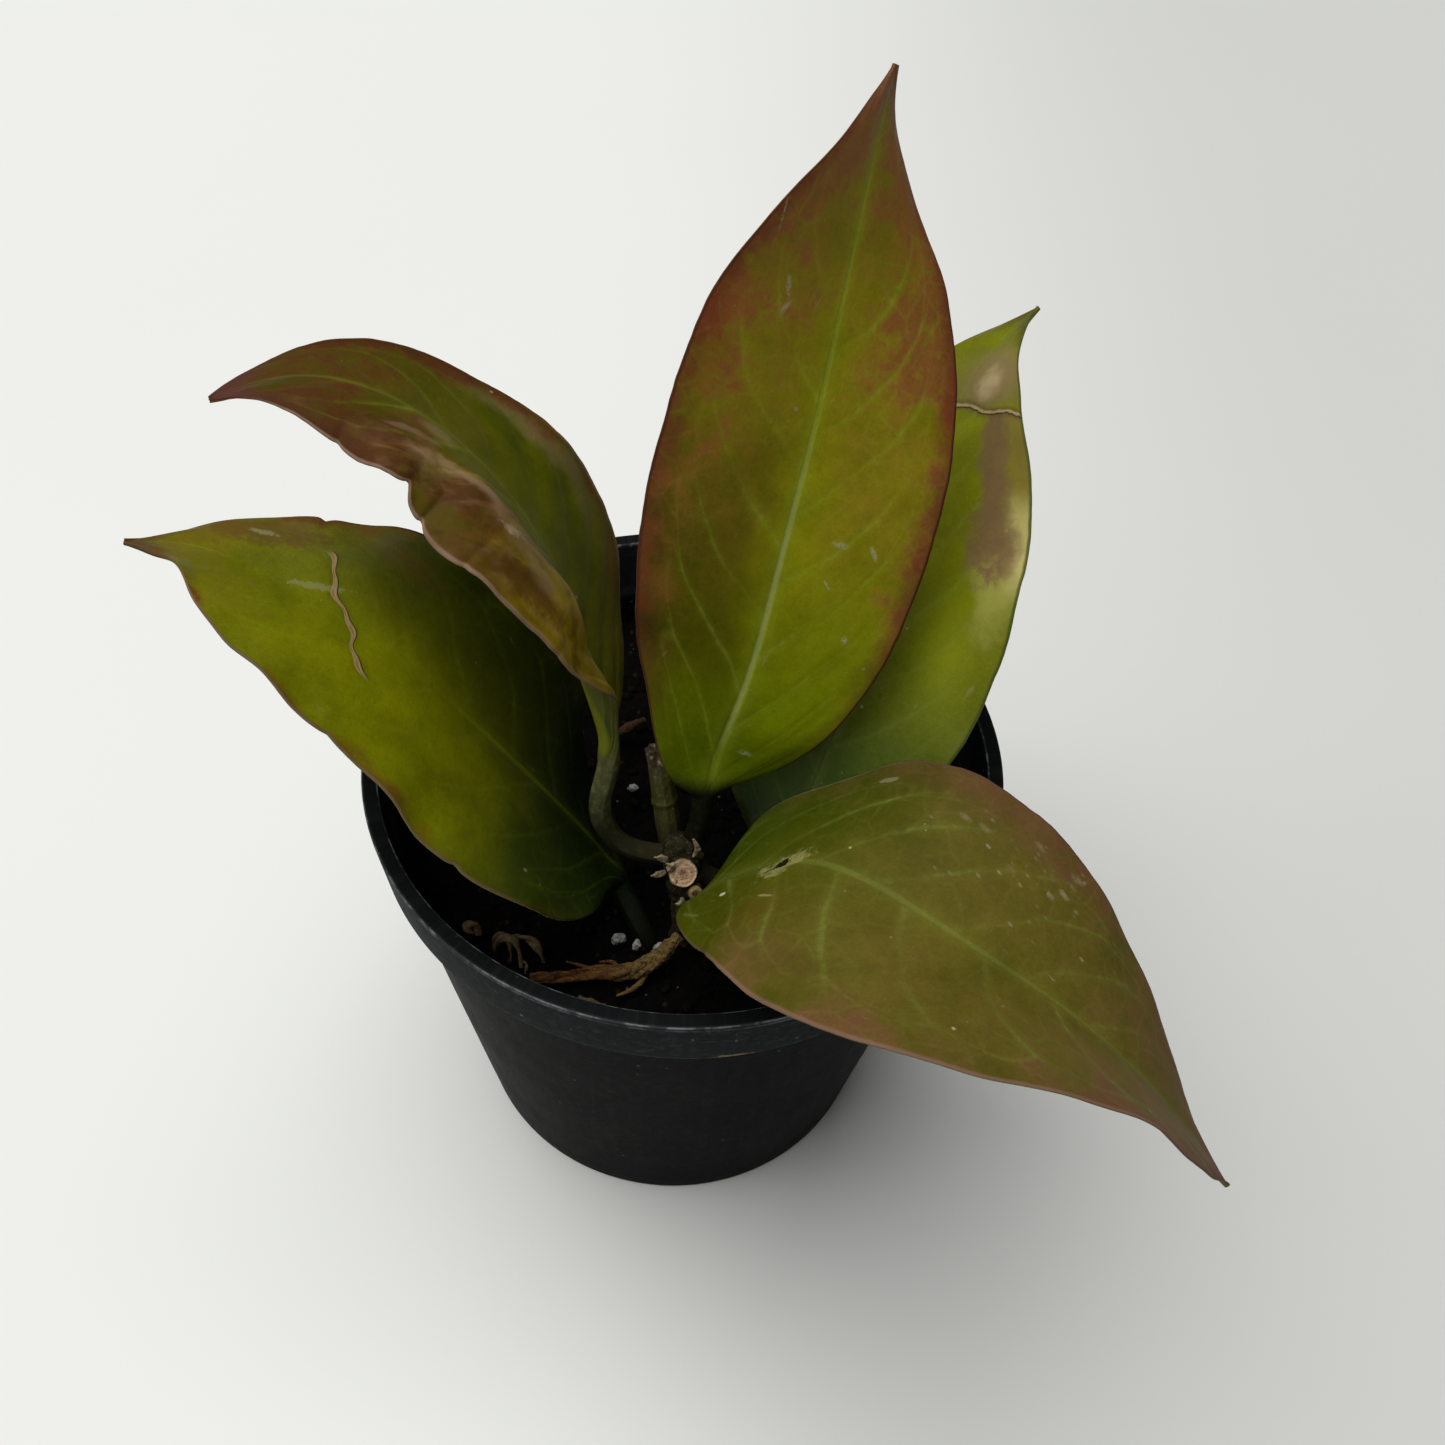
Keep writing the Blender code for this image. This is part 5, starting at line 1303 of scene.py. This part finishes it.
# the cut end: bark sleeve round a flat face with a slightly raised rim
g2, m2, tn2, t2, r2 = tube_grid([CUT_CENTRE - 4.2 * CUT_AXIS, CUT_CENTRE - 2.0 * CUT_AXIS, CUT_CENTRE], [1.45, 1.5, 1.58], 44, 64,
                                bulge=lambda t, a, p, R, total: 0.12 * lumps(p, 0.9, 61, 3) + 0.10 * np.exp(-((t - 0.9) / 0.05) ** 2))
rings = [g2]
face_rows = []
centre = CUT_CENTRE
for fr in (0.93, 0.86, 0.74, 0.60, 0.44, 0.28, 0.14):
    dip = {0.93: 0.05, 0.86: -0.06, 0.74: -0.10, 0.60: -0.05, 0.44: -0.09, 0.28: -0.03, 0.14: -0.12}[fr]
    row = centre + (g2[-1] - g2[-1].mean(0)) * fr + CUT_AXIS * dip
    row = row + CUT_AXIS * (0.05 * lumps(row, 0.5, 65, 2))[:, None]
    face_rows.append(row)
g2 = np.concatenate([g2, np.array(face_rows)], 0)
cut_body = capped(g2, 0.0, -0.12, np.stack([CUT_AXIS, CUT_AXIS]))
g3, m3, tn3, t3, r3 = tube_grid([(1.3, -17.0, 57.2), (1.7, -18.4, 58.4), (1.85, -19.3, 59.1)], [0.95, 0.98, 0.78], 26, 40,
                                bulge=lambda t, a, p, R, total: 0.14 * lumps(p, 0.6, 71, 3) + 0.12 * np.exp(-((t - 0.8) / 0.08) ** 2))
bud_body = capped(g3, 0.0, 0.12, tn3)
# corky warts and old leaf scars on the stem
warts = []
for i, (x, y, z, s_) in enumerate(((1.9, -19.8, 55.2, 0.62), (0.2, -19.2, 56.8, 0.45), (-1.3, -16.4, 58.6, 0.6), (2.0, -15.9, 61.6, 0.62),
                                   (-0.6, -18.6, 60.2, 0.5), (-1.5, -17.2, 61.6, 0.45), (2.2, -18.9, 53.2, 0.5), (0.3, -20.0, 52.6, 0.42))):
    q = iv * (1 + 0.3 * lumps(iv * 2 + i * 3.1, 1.1, 43, 2)[:, None]) * s_
    warts.append((q + np.array([x, y, z]), [iface]))
allv, fs = merge_bodies([stem_body, cut_body, bud_body] + warts)

sh = Shader("old_stem_bark")
X_, Y_, Z_ = sh.xyz()
n1 = sh.noise(1.8, 4.0, 0.6)
n2 = sh.noise(0.45, 4.0, 0.65)
n3 = sh.noise(0.9, 3.0, 0.6, stretch=(1.6, 1.6, 0.35))
col = sh.mix(((n1 - 0.3) * 1.8).clip(), rgb("121408"), rgb("2b2a16"))
col = sh.mix(((n3 - 0.48) * 2.6).clip(), col, rgb("4c4430"))
col = sh.mix(((n2 - 0.58) * 3.5).clip(), col, rgb("746748"))
# painted shade: the bark darkens towards the soil
col = sh.mix(Z_.step(56.0, 50.5) * 0.6, col, rgb("241d12"))
# the cut face is picked out by how near a point is to its plane and centre
cx, cy, cz = (float(q) for q in CUT_CENTRE)
ax, ay, az = (float(q) for q in CUT_AXIS)
h_ = (X_ - cx) * ax + (Y_ - cy) * ay + (Z_ - cz) * az
dx, dy, dz = X_ - cx, Y_ - cy, Z_ - cz
rad2 = (dx * dx + dy * dy + dz * dz - h_ * h_).most(0.0).sqrt()
face = h_.step(-0.32, -0.16) * rad2.step(1.75, 1.62)
ringy = ((rad2 * 6.5 + (n2 - 0.5) * 4.0 + (n1 - 0.5) * 5.0).sin() * 0.5 + 0.5)
wood = sh.mix((ringy * 0.45 + n2 * 0.5).clip(), rgb("c9a988"), rgb("8e6e50"))
wood = sh.mix(((n1 - 0.5) * 3.0).clip(), wood, rgb("b09478"))
wood = sh.mix((rad2 + (n2 - 0.5) * 0.6).step(0.75, 0.25) * 0.6, wood, rgb("7a5a40"))
wood = sh.mix((rad2 + (n2 - 0.5) * 0.5).step(1.15, 1.40) * 0.75, wood, rgb("cbb08c"))
wood = sh.mix((rad2 + (n2 - 0.5) * 0.3).step(1.42, 1.58) * 0.8, wood, rgb("6e5638"))
col = sh.mix(face.clip(), col, wood)
bx_, by_, bz_ = X_ - 1.87, Y_ + 19.4, Z_ - 59.17
bd = (bx_ * bx_ + by_ * by_ + bz_ * bz_).sqrt()
col = sh.mix(((bd + (n2 - 0.5) * 0.4).step(0.95, 0.75) * 0.85).clip(), col, rgb("9c8258"))
col = sh.mix(((bd + (n2 - 0.5) * 0.3).step(0.52, 0.25) * 0.8).clip(), col, rgb("3c2a16"))
sh.colour(col)
sh.rough((0.78 + (n2 - 0.5) * 0.25).clip())
sh.bump((n1 - 0.5) * 0.45 + (n2 - 0.5) * 0.34 + (n3 - 0.5) * 0.30 + ringy * face * 0.03, 1.0)
sh.set(Specular_IOR_Level=0.10)
new_piece("main_stem_bark", allv, fs, sh.mat, "old_stem", ["main_stem"])

# dry scales left round the node
flakes = []
for i, (p0, p1, p2, w_) in enumerate((
        ((-0.6, -17.5, 61.2), (-1.0, -17.9, 62.0), (-1.5, -17.9, 62.6), 0.46),
        ((-1.5, -16.9, 61.9), (-2.3, -17.3, 62.7), (-2.9, -17.4, 62.9), 0.34),
        ((-1.6, -17.2, 60.0), (-2.6, -17.8, 60.1), (-3.2, -17.9, 60.0), 0.30),
        ((1.5, -16.6, 62.6), (1.9, -16.8, 63.8), (1.3, -16.7, 65.6), 0.34),
        ((0.6, -18.9, 57.0), (0.1, -19.6, 57.2), (-0.3, -19.7, 57.4), 0.42),
        ((1.4, -19.5, 55.8), (1.0, -20.2, 56.2), (0.7, -20.3, 56.5), 0.34))):
    gg, _, tt2, _, _ = tube_grid([p0, p1, p2], [w_, w_ * 1.15, w_ * 0.35], 40, 20,
                                 bulge=lambda t, a, p, R, total: R * (-0.50 * np.sin(a + 1.5 * t) ** 2 + 0.55 * lumps(p, 0.45, 141, 3, 0.6)))
    flakes.append(capped(gg, 0, 0.08, tt2))
allv, fs = merge_bodies(flakes)
sh = Shader("dry_scales")
n1 = sh.noise(0.9, 3.0, 0.6)
n2 = sh.noise(0.22, 3.0, 0.65)
col = sh.mix(((n1 - 0.35) * 2.0).clip(), rgb("6d5c3e"), rgb("a8997a"))
col = sh.mix(((n2 - 0.5) * 2.4).clip(), col, rgb("c4b896"))
sh.colour(col)
sh.rough((0.8 + (n2 - 0.5) * 0.2).clip())
sh.bump((n2 - 0.5) * 0.15 + (n1 - 0.5) * 0.1, 1.0)
new_piece("node_dry_scales", allv, fs, sh.mat, "dry_tan", [])

# upright stub: green shoot with a dry, split pale tip
stub_path = [(-0.9, -12.6, 57.4), (-1.8, -10.8, 62.4), (-2.5, -9.3, 66.6), (-3.3, -7.6, 70.3)]


def stub_bulge(t, a, p, R, total):
    node = 0.16 * np.exp(-((t - 0.52) / 0.03) ** 2) + 0.10 * np.exp(-((t - 0.1) / 0.05) ** 2)
    shrivel = ease(t, 0.82, 0.95) * (0.22 * np.sin(6 * a + 2) + 0.15 * lumps(p, 0.7, 83, 2) - 0.12)
    return node + shrivel + 0.05 * np.sin(9 * a) + 0.08 * lumps(p, 1.0, 81, 3)


g, m_, tn_, t_, r_ = tube_grid(stub_path, [1.35, 1.4, 1.35, 1.2], 120, 56, bulge=stub_bulge)
main = capped(g, 0.0, -0.5, tn_)
shards = []
for i, (ofs, hgt) in enumerate((((0.75, 0.2), 1.5), ((-0.6, -0.5), 0.9), ((0.1, 0.8), 1.1), ((-0.7, 0.5), 0.6))):
    sd = np.array([ofs[0], ofs[1] * 0.6, 0.3 * ofs[1]])
    b0 = g[-8].mean(0) + sd * 0.9
    gg, mm2, tt2, _, _ = tube_grid([b0 - tn_[-1] * 0.8, b0 + tn_[-1] * 0.4, b0 + tn_[-1] * hgt + sd * 0.25], [0.34, 0.30, 0.10], 14, 10,
                                   bulge=lambda t, a, p, R, total: 0.06 * lumps(p, 0.4, 85, 2))
    shards.append(capped(gg, 0, 0.05, tt2))
allv, fs = merge_bodies([main] + shards)
sh = Shader("green_shoot")
X_, Y_, Z_ = sh.xyz()
n1 = sh.noise(2.0, 3.0, 0.6)
n2 = sh.noise(0.4, 4.0, 0.65)
st = sh.noise(0.7, 3.0, 0.6, stretch=(2.2, 2.2, 0.22))
col = sh.mix(((n1 - 0.3) * 1.6).clip(), rgb("3a3a12"), rgb("565220"))
col = sh.mix(((st - 0.5) * 2.6).clip(), col, rgb("665f2e"))
dots_d, dr1, dr2 = sh.cells(0.8)
col = sh.mix((dots_d.step(0.22, 0.12) * dr1.above(0.6) * 0.5).clip(), col, rgb("7a7450"))
dry = (Z_ + (n2 - 0.5) * 1.6).step(68.0, 69.2)
dcol = sh.mix(((n2 - 0.4) * 2.4).clip(), rgb("33240f"), rgb("6a5636"))
dcol = sh.mix(((sh.noise(0.9, 3.0, 0.6, offset=(3, 1, 4)) - 0.55) * 6.0).clip() * 0.8, dcol, rgb("b3a685"))
col = sh.mix(dry, col, dcol)
# painted shade: the shoot darkens towards its foot
col = sh.mix(Z_.step(64.0, 58.5) * 0.75, col, rgb("17150c"))
sh.colour(col)
sh.rough((0.55 + (n2 - 0.5) * 0.25 + dry * 0.3).clip())
sh.bump((st - 0.5) * 0.12 + (n2 - 0.5) * 0.08 + dry * (n2 - 0.5) * 0.25, 1.0)
new_piece("upright_stub_shoot", allv, fs, sh.mat, "green_stem", ["upright_stub_stem"])


# ======================================================= things lying on soil
def above(x, y, lift):
    return (x, y, float(soil_top(np.array(float(x)), np.array(float(y)))) + lift)


def level(x, y, lift):
    return (x, y, max(float(soil_height(x + dx, y + dy)) for dx in (-1, 0, 1) for dy in (-1, 0, 1)) + lift)


root_xy = [(-2.9, -23.9), (-5.6, -25.1), (-8.4, -25.2), (-12.4, -25.8), (-16.1, -26.8)]
root_r = [0.55, 0.85, 1.05, 1.0, 0.75, 0.7, 0.45]
centre_path = np.array([(0.3, -21.9, 54.3), (-0.9, -22.9, 53.1)]
                       + [level(x, y, r + 0.45) for (x, y), r in zip(root_xy, root_r[2:])])
cl = chord_lengths(centre_path)
bodies = []
for i in range(4):
    # four strands wind round each other and part at the left end
    t = np.linspace(0, 1, 16)
    p = cubic(cl / cl[-1], centre_path, t)
    tg = unit(np.gradient(p, axis=0))
    sd = unit(np.cross(tg, np.array([0, 0, 1.0])))
    up_ = np.cross(sd, tg)
    ph = i * math.pi / 2 + 5.2 * t
    sep = 0.50 * np.interp(t, [0, 0.2, 0.45, 0.7, 1], [0.5, 1.0, 1.15, 0.7, 1.1 if i % 2 else 0.6])
    q = p + sd * (sep * np.cos(ph))[:, None] + up_ * (sep * 0.75 * np.sin(ph))[:, None]
    rad_i = np.interp(t, np.linspace(0, 1, 7), root_r) * (0.66 if i < 2 else 0.5)
    if i == 3:
        q = q[:11]
        rad_i = rad_i[:11] * np.linspace(1, 0.35, 11)
    gg, mm2, tt2, _, _ = tube_grid(q, rad_i, 170, 30, knots=np.linspace(0, 1, len(rad_i)),
                                   bulge=lambda t, a, p, R, total: R * (0.30 * lumps(p, 1.1, 91, 3, 0.6) + 0.18 * np.sin(3 * a + 40 * t) * lumps(p, 2.0, 93, 1))
                                   + 0.30 * lumps(p, 0.45, 97, 3, 0.6) * (1 - 0.6 * ease(t, 0.2, 0.5)))
    bodies.append(capped(gg, 0.1, 0.15, tt2))
for i, (pts_, r0) in enumerate((
        ([level(-3.2, -24.6, 0.8), level(-4.2, -26.4, 0.5), level(-6.4, -27.6, 0.3)], 0.42),
        ([level(-1.0, -23.6, 1.3), level(-2.4, -22.6, 0.9), level(-3.6, -22.7, 0.4)], 0.38),
        ([level(-9.2, -25.0, 0.9), level(-10.6, -24.0, 0.6), level(-12.4, -23.6, 0.4)], 0.30),
        ([level(-6.2, -25.0, 1.1), level(-7.0, -23.8, 0.9), level(-8.6, -23.4, 0.4)], 0.28))):
    gg, mm2, tt2, _, _ = tube_grid(pts_, [r0, r0 * 0.8, r0 * 0.35], 40, 16,
                                   bulge=lambda t, a, p, R, total: R * 0.3 * lumps(p, 0.7, 95, 2))
    bodies.append(capped(gg, 0.1, 0.1, tt2))
allv, fs = merge_bodies(bodies)
sh = Shader("woody_root")
n1 = sh.noise(1.6, 4.0, 0.6)
n2 = sh.noise(0.35, 4.0, 0.65)
st = sh.noise(0.6, 4.0, 0.65, stretch=(0.3, 1.6, 1.6), distort=0.8)
X_, Y_, Z_ = sh.xyz()
col = sh.mix(((n1 - 0.3) * 2.0).clip(), rgb("3e2409"), rgb("744818"))
col = sh.mix(((st - 0.5) * 3.4).clip(), col, rgb("9c7034"))
fuzzy = (X_ + (n1 - 0.5) * 3.0).step(-8.5, -4.0) * Y_.step(-10.0, -14.0)
col = sh.mix(((0.45 - sh.noise(1.0, 4.0, 0.65, offset=(7, 3, 2))) * 6.0).clip() * 0.8, col, rgb("1d0f06"))
tan = sh.mix(((n2 - 0.35) * 2.2).clip(), rgb("463614"), rgb("8a7442"))
col = sh.mix((fuzzy * 0.80).clip(), col, tan)
pits = sh.noise(0.8, 4.0, 0.7, offset=(1, 8, 5), distort=0.6)
col = sh.mix(((0.46 - pits) * 9.0).clip() * 0.85, col, rgb("140903"))
col = sh.mix(Y_.step(-6.0, -2.0) * 0.65, col, rgb("160d07"))
col = sh.mix(((0.42 - n2) * 4.0).clip(), col, rgb("1c1108"))
sh.colour(col)
sh.rough((0.85 + (n2 - 0.5) * 0.2).clip())
sh.bump((st - 0.5) * 0.30 + (n2 - 0.5) * 0.22 + (n1 - 0.5) * 0.2, 1.0)
sh.set(Specular_IOR_Level=0.3)
root_mat = sh.mat
new_piece("surface_root_wood", allv, fs, root_mat, "root_brown", ["surface_root"])

sh = Shader("perlite_foam")
n1 = sh.noise(0.8, 3.0, 0.6)
dv, v1, v2 = sh.cells(0.32)
col = sh.mix(((n1 - 0.4) * 1.6).clip(), rgb("8a8982"), rgb("b4b3ad"))
n2 = sh.noise(0.7, 3.0, 0.6, offset=(5, 2, 9))
col = sh.mix((dv.step(0.35, 0.1) * 0.45).clip(), col, rgb("6f6a5e"))
col = sh.mix(((n2 - 0.46) * 4.0).clip() * 0.7, col, rgb("2a2620"))
sh.colour(col)
sh.rough((0.85 + (n1 - 0.5) * 0.1).clip())
sh.bump(dv * 0.12 + (n1 - 0.5) * 0.15, 1.0)
perlite_mat = sh.mat
fv, ff = ico(4)


def grain(i, x, y, size, seed):
    k = 1 + 0.42 * lumps(fv * 1.0 + seed * 9.0, 0.9, 101 + i, 2) - 0.22 * np.abs(lumps(fv + seed, 0.35, 111 + i, 3))
    q = fv * k[:, None] * np.array(size)
    q = q + np.array([x, y, level(x, y, 0.35)[2] - q[:, 2].min()])
    new_piece("perlite_chip_%d" % i, q, [ff], perlite_mat, "perlite", ["perlite_grain_%d" % i])


grain(1, -6.7, -20.6, (0.78, 0.62, 0.74), 0.4)
grain(2, -4.5, -21.7, (0.55, 0.60, 0.85), 1.9)
grain(3, -1.9, -21.9, (0.75, 0.55, 0.75), 3.1)
grain(4, -6.3, 1.6, (0.70, 0.50, 0.50), 4.2)
grain(5, 9.5, -26.8, (0.60, 0.60, 0.50), 5.6)

sh = Shader("dry_fibre")
n1 = sh.noise(1.2, 3.0, 0.6)
n2 = sh.noise(0.25, 3.0, 0.65)
col = sh.mix(((n1 - 0.3) * 2.0).clip(), rgb("2e2210"), rgb("5e4a28"))
col = sh.mix(((n2 - 0.5) * 2.4).clip(), col, rgb("86704a"))
sh.colour(col)
sh.rough((0.8 + (n2 - 0.5) * 0.2).clip())
sh.bump((n2 - 0.5) * 0.15 + (n1 - 0.5) * 0.1, 1.0)
dry_mat = sh.mat


def curl_path(cx, cy, radius, turns, rise, lean, n=15):
    pts = []
    for i in range(n):
        t = i / (n - 1)
        a = 2 * math.pi * turns * t
        pts.append((cx + radius * (1 - 0.25 * t) * math.cos(a) + lean[0] * t,
                    cy + radius * 0.8 * (1 - 0.25 * t) * math.sin(a) + lean[1] * t,
                    SOIL_LEVEL + 1.55 + rise * math.sin(math.pi * t) + 0.5 * t))
    return pts


def ribbon(points, radii, rows, cols=18, flat=0.45, seed=1, knots=None):
    """A dried fibre: flattened, twisted, pinched here and there."""
    return tube_grid(points, radii, rows, cols, knots=knots,
                     bulge=lambda t, a, p, R, total: R * (-flat * np.sin(a + 5 * t) ** 2 + 0.25 * lumps(p, 0.9, 121 + seed, 2)))


bodies = []
for i, (pts_, r_) in enumerate((
        ([level(-20.6, -22.6, 0.1), (-20.0, -22.4, 52.5), (-19.2, -22.5, 53.2), (-18.4, -22.7, 53.1), (-17.8, -23.4, 52.4),
          level(-17.4, -24.9, 0.2)], (0.34, 0.44, 0.55, 0.50, 0.42, 0.26)),
        ([(-18.7, -22.4, 53.1), (-17.6, -21.9, 52.6), (-16.4, -22.3, 52.3), (-15.5, -23.1, 51.9), level(-15.0, -23.8, 0.1)],
         (0.30, 0.50, 0.66, 0.50, 0.25)),
        ([level(-20.9, -22.0, 0.1), (-20.4, -21.7, 52.4), (-19.6, -22.0, 53.0), (-18.9, -22.9, 52.6), level(-18.7, -23.9, 0.1)],
         (0.24, 0.30, 0.34, 0.30, 0.18)),
        ([level(-17.3, -24.3, 0.6), (-16.8, -24.9, 51.6), level(-16.9, -25.6, 0.1)], (0.28, 0.26, 0.14)))):
    gg, _, tt2, _, _ = ribbon(pts_, r_, 90, seed=3 + i, flat=0.55)
    bodies.append(capped(gg, 0.05, 0.1, tt2))
allv, fs = merge_bodies(bodies)
new_piece("dry_curl_fibre", allv, fs, dry_mat, "dry_tan", ["dry_curl_large"])

gg, _, tt2, _, _ = ribbon(curl_path(-23.6, -21.3, 0.95, 0.7, 0.8, (0.6, 0.5), 9), [0.38, 0.62, 0.34], 90, seed=7, knots=(0, 0.5, 1), flat=0.55)
new_piece("dry_curl_scrap", *capped(gg, 0, 0.1, tt2), dry_mat, "dry_tan", ["dry_curl_small"])
gg, _, tt2, _, _ = ribbon([level(-10.6, -28.6, 0.7), level(-9.2, -29.3, 0.85), level(-7.6, -29.2, 0.6)], [0.3, 0.55, 0.25], 60, seed=9)
new_piece("bark_flake_chip", *capped(gg, 0.05, 0.1, tt2), dry_mat, "dry_tan", ["bark_flake"])
gg, _, tt2, _, _ = tube_grid([level(-9.3, 9.4, 0.7), level(-7.4, 10.6, 1.4), level(-5.6, 12.9, 0.7)], [0.4, 0.68, 0.4], 70, 24,
                             bulge=lambda t, a, p, R, total: R * 0.3 * lumps(p, 0.8, 131, 3))
new_piece("bark_twig_piece", *capped(gg, 0.1, 0.1, tt2), root_mat, "root_brown", ["bark_twig_back"])


# ====================================================================== stage
floor_mesh = bpy.data.meshes.new("studio_floor")
bmf = bmesh.new()
bmesh.ops.create_circle(bmf, cap_ends=True, segments=180, radius=1.4)
bmf.to_mesh(floor_mesh)
bmf.free()
floor = bpy.data.objects.new("studio_floor", floor_mesh)
scene.collection.objects.link(floor)
sh = Shader("floor_paper")
X_, Y_, Z_ = sh.xyz()
n1 = sh.noise(120.0, 2.0, 0.5)
col = sh.mix(n1, rgb("e2e3df"), rgb("e5e6e2"))
# painted shade: the floor darkens towards +x and a little towards the front right
col = sh.gain(col, 1.0 - X_.step(-40.0, 150.0) * 0.22 - Y_.step(60.0, -80.0) * X_.step(10.0, 120.0) * 0.04)
sh.colour(col)
sh.set(Roughness=0.9, Specular_IOR_Level=0.2)
floor_mesh.materials.append(sh.mat)

world = bpy.data.worlds.new("studio")
scene.world = world
world.use_nodes = True
wt = world.node_tree
bg = wt.nodes["Background"]
bg.inputs[0].default_value = (0.95, 0.97, 1.0, 1.0)
bg.inputs[1].default_value = 0.10
# the room is dim where it lights the plant, and pale where it is looked at
seen_bg = wt.nodes.new("ShaderNodeBackground")
seen_bg.inputs[0].default_value = (0.80, 0.80, 0.78, 1.0)
seen_bg.inputs[1].default_value = 1.0
ray = wt.nodes.new("ShaderNodeLightPath")
pick = wt.nodes.new("ShaderNodeMixShader")
wt.links.new(ray.outputs["Is Camera Ray"], pick.inputs[0])
wt.links.new(bg.outputs[0], pick.inputs[1])
wt.links.new(seen_bg.outputs[0], pick.inputs[2])
wt.links.new(pick.outputs[0], wt.nodes["World Output"].inputs["Surface"])


def area(name, place, target, size, power, colour=(1, 1, 1)):
    d = bpy.data.lights.new(name, "AREA")
    d.shape = "RECTANGLE"
    d.size, d.size_y = size
    d.energy = power
    d.color = colour
    o = bpy.data.objects.new(name, d)
    scene.collection.objects.link(o)
    o.location = place
    o.rotation_euler = (Vector(target) - Vector(place)).to_track_quat("-Z", "Y").to_euler()
    return o


area("ceiling", (-1.40, 0.40, 4.60), (0, 0, 0.05), (5.2, 5.2), 316.0, (1.0, 0.998, 0.99))
area("front", (-0.55, -0.75, 0.85), (0, 0, 0.06), (0.6, 0.5), 1.6, (1.0, 0.99, 0.97))

# camera at the photograph's viewing angle: 184 mm from the rim's centre
CAM = Vector((0.0, -0.11895, 0.20251))
right_ = Vector((0.99860, 0.02078, 0.04865))
up_v = Vector((-0.04764, 0.75327, 0.65598))
back_ = Vector((-0.02302, -0.65738, 0.75321))
cam_data = bpy.data.cameras.new("photo_view")
cam_data.sensor_width = 36.0
cam_data.sensor_fit = "HORIZONTAL"
cam_data.lens = 36.0 * 1549.5 / 1445.0
cam_data.clip_start = 0.005
cam_data.clip_end = 20.0
cam = bpy.data.objects.new("photo_view", cam_data)
scene.collection.objects.link(cam)
rot = Matrix((right_, up_v, back_)).transposed()
cam.matrix_world = Matrix.Translation(CAM) @ rot.to_4x4()
scene.camera = cam

scene.view_settings.view_transform = "Standard"
scene.view_settings.look = "None"
